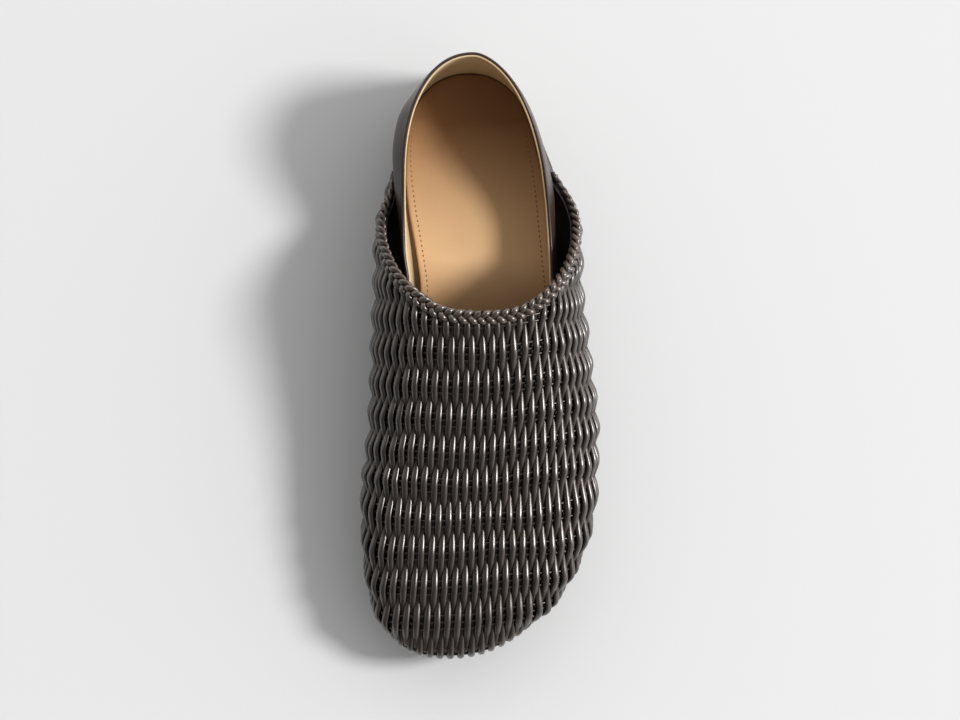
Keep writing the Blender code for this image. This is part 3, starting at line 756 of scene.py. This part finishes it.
CORDS_PER_SIDE = 56
FIRST_CORD = 0.5
CORD_PITCH = 2.34
TOE_PITCH = 2.46
TOE_PITCH_GROWS = (1.0, 6.5)
GIRTH_END = 0.982
GIRTH_POINTS = 141
ROW_LENGTH = 15.5
ROW_AT_BALL = 0.44
ROW_STEP = 0.05
ROW_SWEEP = {MEDIAL: 5.5, LATERAL: 18.0}
ROW_SWEEP_TOE = {MEDIAL: 8.0, LATERAL: 0.0}
ROW_SWEEP_POWER = 1.3
TOE_SWEEP_GROWS = (-8, 16)
SWEEP_FADE = (100.0, 155.0)
TOE_ROWS_FROM = 2.0
TOE_ROWS_GAIN = 1.0
TOE_ROWS_POWER = 1.5
LAST_ROW = 5.0
LAST_ROW_PACE = 0.5
CORD_HALF_THICK = 1.25
CORD_LEVEL = -0.2
CORD_SWING = 1.75
CORD_CREST = 0.45
CORD_PEAK = 0.82
CORD_DRIFT = 0.12
ROW_DRIFT = 0.025
CORD_SIDES = 14
CORD_STEP = 1.0
CORD_FEWEST_RINGS = 5
CORD_CREASE = math.radians(60)
CORD_DARK = (0.0056, 0.0033, 0.0022)
CORD_LIGHT = (0.0178, 0.0107, 0.0072)
CORD_GLEAM = (1.0, 0.88, 0.79, 1.0)
WIDTH_CROSSING = 0.63
WIDTH_OVER = 0.09
WIDTH_UNDER = 0.05
WIDTH_GROWS = (0.0, 0.55)
WIDTH_SHARE = 0.01
RIM_FADE = 8.0
RIM_PULL = {MEDIAL: 0.4, LATERAL: 1.0}
RIM_PULL_DEPTH = 12.0
RIM_PULL_GROWS = (0.1, 0.35)
RIM_SHIFT = 0.06
RIM_SQUEEZE = 0.15
SOLE_FADE = 7.0
CROSS_ROWS = (-9, 7)
CROSS_PER_ROW = (-3.0, 0.0, 3.0)
CROSS_RADIUS = 0.72
CROSS_SIDES = 8
CROSS_LEVEL = 0.3
CROSS_POINTS = 321
CROSS_FEWEST_POINTS = 7
# Painted shade: the cross cords take only the dark end of the tone range.
CROSS_TONE = 0.3

VampRow = namedtuple("VampRow", "y ridge_x ridge_z medial lateral widest_z power")
VAMP_SECTIONS = (
    VampRow(-60, -4.0, 48.2, -53.6, 54.3, 24, 2.35),
    VampRow(-33, -2.5, 55.0, -50.5, 54.6, 26, 2.25),
    VampRow(-8, -1.5, 62.5, -49.4, 51.8, 28, 2.15),
    VampRow(16, -1.5, 70.0, -48.7, 48.8, 30, 2.10),
    VampRow(36, -2.0, 76.5, -48.0, 46.6, 31, 2.05),
    VampRow(52, -2.5, 81.0, -47.8, 46.4, 31, 2.00),
    VampRow(64, -3.0, 84.0, -46.8, 45.8, 30, 2.00),
    VampRow(76, -3.0, 86.0, -43.0, 42.6, 29, 2.00),
    VampRow(88, -3.0, 87.0, -40.8, 36.0, 28, 2.00),
    VampRow(99, -3.0, 88.0, -40.0, 33.0, 28, 2.00),
)
RIM_LINE = (
    LevelRow(18.0, 71.2),
    LevelRow(19.6, 69.6),
    LevelRow(27, 65.6),
    LevelRow(38, 57.0),
    LevelRow(52, 44.5),
    LevelRow(64, 33.8),
    LevelRow(74, 27.4),
    LevelRow(84, 23.4),
    LevelRow(92, 21.6),
)


def wall_line(top, widest, foot, power, slope):
    """Points over the last from the top of the instep to the sole: an arch, then a tuck under it."""
    across, up = rounded(np.linspace(0, math.pi / 2, ARCH_POINTS), power)
    arch = top + across[:, None] * (widest - top)
    crown = top[2] - slope * (top[1] - arch[:, 1])
    arch[:, 2] = widest[2] + (crown - widest[2]) * up
    angle = np.linspace(0, TUCK_ANGLE, TUCK_POINTS)[1:]
    inward = (np.cos(angle) - math.cos(TUCK_ANGLE)) / (1 - math.cos(TUCK_ANGLE))
    tuck = foot + inward[:, None] * (widest - foot)
    tuck[:, 2] = widest[2] - (widest[2] - foot[2]) * np.sin(angle) / math.sin(TUCK_ANGLE)
    return np.vstack([arch, tuck])


def half_section(side, y):
    """The weave's middle surface cut across the shoe behind the ball, from ridge to sole."""
    top = np.array([smooth(VAMP_SECTIONS, "ridge_x", y), y, smooth(VAMP_SECTIONS, "ridge_z", y)])
    widest = np.array([smooth(VAMP_SECTIONS, COLUMN[side], y), y, smooth(VAMP_SECTIONS, "widest_z", y)])
    foot = np.array([edge_x(side, y, wing_room(y) + WALL_INSIDE), y, sole_under(y) + SOLE_THICK])
    return wall_line(top, widest, foot, smooth(VAMP_SECTIONS, "power", y), 0.0)


def toe_edge(side, medial, lateral, tip_y):
    """Plan of the toe's edge, from where the middle cord meets it back to the ball line on one side."""
    halves = []
    for which, ball_x in ((MEDIAL, medial), (LATERAL, lateral)):
        across, ahead = rounded(np.linspace(0, math.pi / 2, TOE_EDGE_POINTS), TOE_POWER[which])
        x = TOE_TIP_X + (ball_x - TOE_TIP_X) * across
        y = BALL_Y - (BALL_Y - tip_y) * ahead
        halves.append(np.column_stack([x, y, np.zeros(TOE_EDGE_POINTS)]))
    edge = np.vstack([halves[0][:0:-1], halves[1]])
    aim = [[TOE_AIM_X, np.interp(TOE_AIM_X, edge[:, 0], edge[:, 1]), 0.0]]
    on_side = edge[side * (edge[:, 0] - TOE_AIM_X) > 0]
    return np.vstack([aim, on_side[::side]])


def fan_share(side, swing):
    """Share of the toe's edge that a swing reaches: even cords at the tip, even rows at the ball line."""
    tip = FAN_AT_TIP[side] * swing * (1 - swing) ** 2
    ball = FAN_AT_BALL[side] * swing * swing * (swing - 1)
    return tip + swing * swing * (3 - 2 * swing) + ball


def share_of(line, share):
    """Point at a share of a line's length."""
    lengths = way_along(line)
    return np.array([np.interp(share * lengths[-1], lengths, values) for values in line.T])


def toe_line(side, swing):
    """Line from the ball's ridge out over the toe; swing 0 follows the middle cord, 1 the ball line."""
    ball = VAMP_SECTIONS[0]
    margin = WING_ROOM_FRONT + WALL_INSIDE
    fan = fan_share(side, swing)
    widest = share_of(toe_edge(side, ball.medial, ball.lateral, INSOLE_TOE_Y - margin - TOE_OVERHANG), fan)
    widest[2] = ball.widest_z
    foot_sides = [float(edge_x(which, BALL_Y, margin)) for which in (MEDIAL, LATERAL)]
    foot = share_of(toe_edge(side, *foot_sides, INSOLE_TOE_Y - margin), fan)
    foot[2] = sole_under(foot[1]) + SOLE_THICK
    power = TOE_ARCH_POWER + (ball.power - TOE_ARCH_POWER) * swing ** 2
    return wall_line(np.array([ball.ridge_x, ball.y, ball.ridge_z]), widest, foot, power, TOE_SLOPE)


middle_line = toe_line(LATERAL, 0.0)
TOE_RUN = np.sum(np.linalg.norm(np.diff(middle_line, axis=0), axis=1))
back_lines = {}
toe_lines = {}
for side in (MEDIAL, LATERAL):
    cuts = [half_section(side, BALL_Y + BACK_STEP * i) for i in range(BACK_LINES)]
    back_lines[side] = np.array([even_steps(line, LINE_POINTS) for line in cuts])
    cuts = [toe_line(side, swing) for swing in np.linspace(0, 1, TOE_LINES)]
    toe_lines[side] = np.array([even_steps(line, LINE_POINTS) for line in cuts])


def between_lines(lines, at, share):
    """Points at a fractional line number and a share of the line's length."""
    i = np.clip(at.astype(int), 0, len(lines) - 2)
    along = share * (LINE_POINTS - 1)
    k = np.clip(along.astype(int), 0, LINE_POINTS - 2)
    u = (at - i)[:, None]
    v = (along - k)[:, None]
    near = lines[i, k] * (1 - v) + lines[i, k + 1] * v
    far = lines[i + 1, k] * (1 - v) + lines[i + 1, k + 1] * v
    return near * (1 - u) + far * u


def vamp_point(q, run):
    """Points of the weave's middle surface.

    q is the share of the half girth (-1 medial sole edge, 0 ridge, 1 lateral sole edge) and run is the
    distance from the ball line towards the toe.
    """
    q = np.clip(q, -1, 1)
    ahead = np.maximum(run, 0) / TOE_RUN
    swing = np.arctan2(np.abs(q), ahead) / (math.pi / 2)
    reach = np.minimum(np.hypot(q, ahead), 1)
    points = np.zeros((len(q), 3))
    for side in (MEDIAL, LATERAL):
        on_side = (q >= 0) == (side == LATERAL)
        back = on_side & (run <= 0)
        points[back] = between_lines(back_lines[side], -run[back] / BACK_STEP, np.abs(q[back]))
        toe = on_side & (run > 0)
        points[toe] = between_lines(toe_lines[side], swing[toe] * (TOE_LINES - 1), reach[toe])
    return points


def vamp_frame(q, run):
    """Points of the middle surface and its outward directions."""
    across = vamp_point(q + FRAME_SHARE, run) - vamp_point(q - FRAME_SHARE, run)
    forward = vamp_point(q, run + FRAME_RUN) - vamp_point(q, run - FRAME_RUN)
    return vamp_point(q, run), unit(np.cross(forward, across))


def run_of_row(q, row):
    """Run at which a girth share reaches a row. Rows swing back towards the heel on the sides."""
    level = (row - ROW_AT_BALL) * ROW_LENGTH
    level = level + TOE_ROWS_GAIN * np.maximum(row - TOE_ROWS_FROM, 0) ** TOE_ROWS_POWER
    at_toe = ease(level, *TOE_SWEEP_GROWS)
    sweeps = [ROW_SWEEP[side] + ROW_SWEEP_TOE[side] * at_toe for side in (LATERAL, MEDIAL)]
    swing_back = np.where(q >= 0, *sweeps) * np.abs(q) ** ROW_SWEEP_POWER
    return level - swing_back * (1 - ease(-level, *SWEEP_FADE))


def weave_wave(row):
    """Rise and fall of a cord over and under the rows, from 1 to -1; the last row runs on to the sole."""
    beat = np.where(row > LAST_ROW, LAST_ROW + (row - LAST_ROW) * LAST_ROW_PACE, row)
    return np.arcsin(CORD_PEAK * np.sin(math.pi * beat)) / math.asin(CORD_PEAK)


def row_pitch(row):
    """Distance from cord to cord along a row: a little more over the toe."""
    return CORD_PITCH + (TOE_PITCH - CORD_PITCH) * ease(row, *TOE_PITCH_GROWS)


def on_vamp(points, q, run):
    """Which points lie below the throat's edge and above the sole."""
    below_rim = points[:, 2] < smooth(RIM_LINE, "z", points[:, 1])
    above_sole = np.hypot(q, np.maximum(run, 0) / TOE_RUN) < TOE_CUT
    return below_rim & (points[:, 1] < CORD_BACK_Y) & above_sole


def rim_pull(side, q, run):
    """How strongly the throat's edge turns the cords along itself."""
    points = vamp_point(q, run)
    below = np.maximum(smooth(RIM_LINE, "z", points[:, 1]) - points[:, 2], 0)
    return RIM_PULL[side] * np.exp(-below / RIM_PULL_DEPTH) * ease(np.abs(q), *RIM_PULL_GROWS)


def spans(kept):
    """Each unbroken stretch of kept ones: the position of its first, and the one after its last."""
    turns = np.flatnonzero(np.diff(np.concatenate([[0], kept.astype(int), [0]])))
    return list(zip(turns[::2], turns[1::2]))


def lining_grid(side):
    """Girth shares and runs over one side of the vamp: lines across it, then lines out over the toe."""
    shares = []
    runs = []
    for run in np.arange(BALL_Y - CORD_BACK_Y, 0.0, LINING_STEP):
        line = vamp_point(side * np.linspace(0, 1, LINE_POINTS), np.full(LINE_POINTS, run))
        first = np.argmax(line[:, 2] < smooth(RIM_LINE, "z", line[:, 1])) / (LINE_POINTS - 1)
        shares.append(np.linspace(first, 1, LINING_POINTS))
        runs.append(np.full(LINING_POINTS, run))
    reach = np.linspace(0, 1, LINING_POINTS)
    for angle in np.linspace(math.pi / 2, 0, LINING_TOE_LINES):
        shares.append(reach * math.sin(angle))
        runs.append(reach * math.cos(angle) * TOE_RUN)
    return side * np.array(shares), np.array(runs)


def thick_sheet(name, near, far, finish):
    """Closed sheet between two grids of points."""
    rows, columns = near.shape[:2]
    number = np.arange(rows * columns).reshape(rows, columns)
    corners = (number[:-1, :-1], number[1:, :-1], number[1:, 1:], number[:-1, 1:])
    flat = np.stack(corners, axis=2).reshape(-1, 4)
    faces = flat.tolist() + (flat[:, ::-1] + rows * columns).tolist()
    border = np.concatenate([number[0], number[1:, -1], number[-1, -2::-1], number[-2:0:-1, 0]])
    for a, b in zip(border, np.roll(border, -1)):
        faces.append((b, a, a + rows * columns, b + rows * columns))
    return add_mesh(name, np.concatenate([near.reshape(-1, 3), far.reshape(-1, 3)]), faces, finish)


# Painted shade: the lining is near-black and matt to stand in for the shade inside the vamp.
dark_lining, tree = start_finish("dark lining")
grain = noise(tree, size_mm=0.5, detail=3.0)
end_finish(tree, {
    "Base Color": grain.tint(LINING_DARK, LINING_LIGHT),
    "Roughness": 0.62 + grain * 0.1,
    "Normal": bump(tree, grain, depth_mm=0.05, strength=0.3),
})
for side, word in COLUMN.items():
    q, run = lining_grid(side)
    middle, outward = vamp_frame(q.ravel(), run.ravel())
    layers = [(middle + outward * depth).reshape(*q.shape, 3) for depth in LINING_DEPTHS]
    vamp_lining = thick_sheet("vamp_lining_" + word, *layers, dark_lining)
    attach(vamp_lining, "root")
    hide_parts("woven_vamp")


class Tubes:
    """Many cords gathered into one mesh, with a tone for each cord and a crest value along it."""

    def __init__(self, sides):
        self.turn = np.linspace(0, 2 * math.pi, sides, endpoint=False)
        self.points = []
        self.faces = []
        self.tone = []
        self.crest = []
        self.count = 0

    def add(self, centre, outward, half_width, half_thick, tone, crest):
        """One cord along its centre line, oval, flattened against the outward direction."""
        ahead = unit(np.gradient(centre, axis=0))
        across = unit(np.cross(outward, ahead))
        out = np.cross(ahead, across)
        sides = len(self.turn)
        wide = (across * np.reshape(half_width, (-1, 1)))[:, None] * np.cos(self.turn)[None, :, None]
        thick = (out * half_thick)[:, None] * np.sin(self.turn)[None, :, None]
        self.points.append((centre[:, None] + wide + thick).reshape(-1, 3))
        starts = self.count + np.arange(len(centre) - 1)[:, None] * sides
        near = starts + np.arange(sides)
        far = starts + (np.arange(sides) + 1) % sides
        self.faces += np.stack([near, far, far + sides, near + sides], axis=2).reshape(-1, 4).tolist()
        last = self.count + (len(centre) - 1) * sides
        self.faces.append(tuple(range(self.count + sides - 1, self.count - 1, -1)))
        self.faces.append(tuple(range(last, last + sides)))
        self.tone.append(np.full(len(centre) * sides, tone))
        self.crest.append(np.repeat(np.broadcast_to(crest, len(centre)), sides))
        self.count += len(centre) * sides

    def build(self, name, finish):
        """The object of all the cords added."""
        mesh = bpy.data.meshes.new(name)
        mesh.from_pydata((np.concatenate(self.points) + PLACE) * MM, [], self.faces)
        for label, values in (("tone", self.tone), ("crest", self.crest)):
            layer = mesh.attributes.new(label, "FLOAT", "POINT")
            layer.data.foreach_set("value", np.concatenate(values).astype(np.float32))
        return add_object(name, mesh, CORD_CREASE, finish)


def cord_leather(name, dark, light, roughness, polish):
    """Glossy rolled leather: each cord a little lighter or darker, the crests polished and painted lighter
    than the stretches tucked under, as painted light and shade.
    """
    made, tree = start_finish(name)
    tone = Wire.node(tree, "Attribute", {"attribute_name": "tone"}, {}, "Fac")
    crest = Wire.node(tree, "Attribute", {"attribute_name": "crest"}, {}, "Fac")
    grain = noise(tree, size_mm=0.4, detail=3.0)
    streaks = noise(tree, size_mm=2.4, detail=3.0, stretch=(1.0, 0.22, 1.0))
    end_finish(tree, {
        "Base Color": (tone * 0.55 + streaks * 0.3 + crest * 0.15).tint(dark, light),
        "Roughness": roughness + grain * 0.10 + streaks * 0.06 - crest * 0.04,
        "Specular IOR Level": 0.5,
        "Specular Tint": CORD_GLEAM,
        "Coat Weight": polish * (0.3 + crest * 0.7),
        "Coat Roughness": 0.27,
        "Normal": bump(tree, grain + streaks * 0.6, depth_mm=0.05, strength=0.4),
    })
    return made


vamp_leather = cord_leather("woven cord leather", CORD_DARK, CORD_LIGHT, roughness=0.30, polish=1.0)
draw = np.random.default_rng(7)
row_table = np.arange(-9.6, 7.6, ROW_STEP)
drift_rows = np.arange(-10, 8, 0.5)
half_girth = np.linspace(0, GIRTH_END, GIRTH_POINTS)
warp = {MEDIAL: Tubes(CORD_SIDES), LATERAL: Tubes(CORD_SIDES)}
for side in (MEDIAL, LATERAL):
    rows, q = (values.ravel() for values in np.meshgrid(row_table, side * half_girth, indexing="ij"))
    grid = vamp_point(q, run_of_row(q, rows)).reshape(len(row_table), GIRTH_POINTS, 3)
    girths = np.cumsum(np.linalg.norm(np.diff(grid, axis=1), axis=2), axis=1)
    girths = np.column_stack([np.zeros(len(row_table)), girths])
    for number in range(CORDS_PER_SIDE):
        turn_about = side * (-1) ** number
        shares = []
        for row, girth in zip(row_table, girths):
            away = (number + FIRST_CORD) * row_pitch(row)
            shares.append(side * np.interp(away, girth, half_girth, right=2.0))
        shares = np.array(shares)
        pull = rim_pull(side, shares, run_of_row(shares, row_table))
        shares = shares + side * RIM_SHIFT * pull
        run = run_of_row(shares, row_table)
        kept = (np.abs(shares) <= 1) & on_vamp(vamp_point(shares, run), shares, run)
        for first, last in spans(kept):
            count = int((last - first) * ROW_STEP * ROW_LENGTH / CORD_STEP)
            if count < CORD_FEWEST_RINGS:
                continue
            rows = np.linspace(row_table[first], row_table[last - 1], count)
            q = np.interp(rows, row_table[first:last], shares[first:last])
            run = run_of_row(q, rows)
            middle, outward = vamp_frame(q, run)
            one_side = vamp_point(q + WIDTH_SHARE, run_of_row(q + WIDTH_SHARE, rows))
            other_side = vamp_point(q - WIDTH_SHARE, run_of_row(q - WIDTH_SHARE, rows))
            across = unit(one_side - other_side)
            ahead = unit(np.gradient(middle, axis=0))
            squeeze = 1 - RIM_SQUEEZE * np.interp(rows, row_table, pull)
            spacing = row_pitch(rows) * squeeze * np.linalg.norm(np.cross(ahead, across), axis=1)
            to_sole = (1 - np.hypot(q, np.maximum(run, 0) / TOE_RUN)) * TOE_RUN
            free = ease(way_along(middle), 0, RIM_FADE) * ease(to_sole, 0, SOLE_FADE)
            wave = weave_wave(rows + draw.normal(0, ROW_DRIFT)) * turn_about
            drift = np.interp(rows, drift_rows, draw.normal(0, CORD_DRIFT, len(drift_rows)))
            lift = CORD_LEVEL + free * (CORD_SWING * wave + CORD_CREST * wave ** 2)
            over = ease(wave, *WIDTH_GROWS) * free
            under = ease(-wave, *WIDTH_GROWS) * free
            half_width = spacing * (WIDTH_CROSSING + WIDTH_OVER * over + WIDTH_UNDER * under)
            centre = middle + outward * lift[:, None] + across * drift[:, None]
            # The crest value is the over share: cords are painted lighter where on top and darker where
            # tucked under, as painted light and shade.
            warp[side].add(centre, outward, half_width, CORD_HALF_THICK, draw.random(), over)
for side, word in COLUMN.items():
    cords = warp[side].build("vamp_cords_" + word, vamp_leather)
    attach(cords, "root")
    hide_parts("woven_vamp")

weft = Tubes(CROSS_SIDES)
for row in range(*CROSS_ROWS):
    for offset in CROSS_PER_ROW:
        q = np.linspace(-GIRTH_END, GIRTH_END, CROSS_POINTS)
        run = run_of_row(q, np.full(CROSS_POINTS, row + 0.5 + offset / ROW_LENGTH))
        for first, last in spans(on_vamp(vamp_point(q, run), q, run)):
            if last - first >= CROSS_FEWEST_POINTS:
                part = slice(first, last, 2)
                middle, outward = vamp_frame(q[part], run[part])
                centre = middle + outward * CROSS_LEVEL
                # Painted shade: the cross cords are given darker tones for the shade in the gaps of the
                # weave.
                weft.add(centre, outward, CROSS_RADIUS, CROSS_RADIUS, CROSS_TONE * draw.random(), 0.0)
cross_cords = weft.build("vamp_cross_cords", vamp_leather)
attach(cross_cords, "root")
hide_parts("woven_vamp")


# Braid collar: a flat plait of three of the same cords, worked along the throat's edge over the ends of the
# long cords. Both its ends go down to the sole beside the quarter.
PLAIT_END_Y = 87.0
PLAIT_STROKE = 4.6
PLAIT_SWING = 2.25
PLAIT_LIFT = 1.3
PLAIT_HALF_WIDTH = 1.34
PLAIT_HALF_THICK = 1.12
PLAIT_DRAWN_FROM_Y = {MEDIAL: 70.0, LATERAL: 66.0}
PLAIT_DRAWN = 0.7
PLAIT_DRAWN_BY = 0.7
PLAIT_STEP = 0.5
PLAIT_AXIS_Z = 26.0
PLAIT_DARK = (0.018, 0.0116, 0.0087)
PLAIT_LIGHT = (0.054, 0.0365, 0.0276)
RIM_POINTS = 120

rim_points = []
for side in (MEDIAL, LATERAL):
    one_side = []
    for u in np.linspace(0, 1, RIM_POINTS):
        y = RIM_LINE[0].y + (PLAIT_END_Y - RIM_LINE[0].y) * u * u
        line = half_section(side, y)
        at = np.interp(-smooth(RIM_LINE, "z", y), -line[:, 2], np.arange(len(line)))
        one_side.append([np.interp(at, np.arange(len(line)), values) for values in line.T])
    rim_points += one_side[::-1] if side == MEDIAL else one_side[1:]
rim = np.array(rim_points)
rim_length = np.sum(np.linalg.norm(np.diff(rim, axis=0), axis=1))
rim = even_steps(rim, int(rim_length / PLAIT_STEP))
ahead = unit(np.gradient(rim, axis=0))
outward = rim - np.column_stack([
    smooth(VAMP_SECTIONS, "ridge_x", rim[:, 1]),
    rim[:, 1],
    np.full(len(rim), PLAIT_AXIS_Z),
])
outward = unit(outward - ahead * np.sum(outward * ahead, axis=1)[:, None])
across = np.cross(ahead, outward)
travel = np.linspace(0, rim_length, len(rim))
drawn_from = np.where(rim[:, 0] < 0, PLAIT_DRAWN_FROM_Y[MEDIAL], PLAIT_DRAWN_FROM_Y[LATERAL])
loose = 1 - PLAIT_DRAWN * ease((rim[:, 1] - drawn_from) / (PLAIT_END_Y - drawn_from), 0, PLAIT_DRAWN_BY)
plait = Tubes(CORD_SIDES)
for strand in range(3):
    phase = 2 * math.pi * (travel / (3 * PLAIT_STROKE) + strand / 3)
    lift = np.sin(2 * phase)
    centre = rim + across * (PLAIT_SWING * loose * np.sin(phase))[:, None]
    centre = centre + outward * (PLAIT_LIFT * loose * lift)[:, None]
    # The crest value paints the tops of the strokes lighter as a painted highlight, and fades where the ends
    # are drawn in, painting the ends darker as painted shade.
    plait.add(centre, outward, PLAIT_HALF_WIDTH, PLAIT_HALF_THICK, draw.random(), ease(lift, 0, 1) * loose)
plait_leather = cord_leather("plaited cord leather", PLAIT_DARK, PLAIT_LIGHT, roughness=0.24, polish=1.0)
collar = plait.build("collar_plait", plait_leather)
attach(collar, "root")
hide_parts("braid_collar")


# Studio: a pale seamless floor, one soft key from the lateral side and a little behind, and a bright room.
# The camera hangs above the medial side, as high over the shoe as in the photograph, and aims at the shoe.
FLOOR_SIZE = 8.0
FLOOR_GREY = 0.572
KEY_ANGLE = math.radians(8)
KEY_HEIGHT = math.radians(40.5)
KEY_DISTANCE = 9.0
KEY_SIZE = 2.25
KEY_POWER = 895.0
ROOM_TOP = 0.20
ROOM_SIDE = 1.86
ROOM_LEAN_RIGHT = 0.55
ROOM_LEAN_BACK = 0.8
CAMERA_AT = Vector((-0.0686, -0.0042, 1.600))
CAMERA_AIM = Vector((0.0, 0.0, 0.025))
CAMERA_LENS = 124.0

floor_mesh = bpy.data.meshes.new("floor")
half = FLOOR_SIZE / 2
corners = [(-half, -half, 0.0), (half, -half, 0.0), (half, half, 0.0), (-half, half, 0.0)]
floor_mesh.from_pydata(corners, [], [(0, 1, 2, 3)])
floor_finish, tree = start_finish("pale floor")
end_finish(tree, {"Base Color": (FLOOR_GREY, FLOOR_GREY, FLOOR_GREY, 1.0), "Roughness": 0.85})
floor_mesh.materials.append(floor_finish)
floor = bpy.data.objects.new("floor", floor_mesh)
bpy.context.scene.collection.objects.link(floor)

world = bpy.data.worlds.new("room")
world.use_nodes = True
tree = world.node_tree
tree.nodes.clear()
way = Wire.node(tree, "TexCoord", {}, {}, "Generated")
to_right, to_back, upward = (Wire.node(tree, "SeparateXYZ", {}, {0: way}, axis) for axis in "XYZ")
lean = to_right * ROOM_LEAN_RIGHT + to_back * ROOM_LEAN_BACK + 1.0
room_level = (upward * (ROOM_TOP - ROOM_SIDE) + ROOM_SIDE) * lean
room = Wire.node(tree, "Background", {}, {"Color": room_level})
Wire.node(tree, "OutputWorld", {}, {"Surface": room})
bpy.context.scene.world = world

key_light = bpy.data.lights.new("key", "AREA")
key_light.shape = "DISK"
key_light.size = KEY_SIZE
key_light.energy = KEY_POWER
key = bpy.data.objects.new("key", key_light)
key_level = math.cos(KEY_HEIGHT)
key_way = Vector((key_level * math.cos(KEY_ANGLE), key_level * math.sin(KEY_ANGLE), math.sin(KEY_HEIGHT)))
key.location = key_way * KEY_DISTANCE
key.rotation_mode = "QUATERNION"
key.rotation_quaternion = key_way.to_track_quat("Z", "Y")
bpy.context.scene.collection.objects.link(key)

camera_data = bpy.data.cameras.new("camera")
camera_data.lens = CAMERA_LENS
camera = bpy.data.objects.new("camera", camera_data)
back_axis = (CAMERA_AT - CAMERA_AIM).normalized()
right_axis = Vector((0.0, 1.0, 0.0)).cross(back_axis).normalized()
up_axis = back_axis.cross(right_axis)
turn = Matrix((right_axis, up_axis, back_axis)).transposed().to_4x4()
camera.matrix_world = Matrix.Translation(CAMERA_AT) @ turn
bpy.context.scene.collection.objects.link(camera)
bpy.context.scene.camera = camera
bpy.context.scene.view_settings.view_transform = "Standard"

bpy.context.view_layer.update()
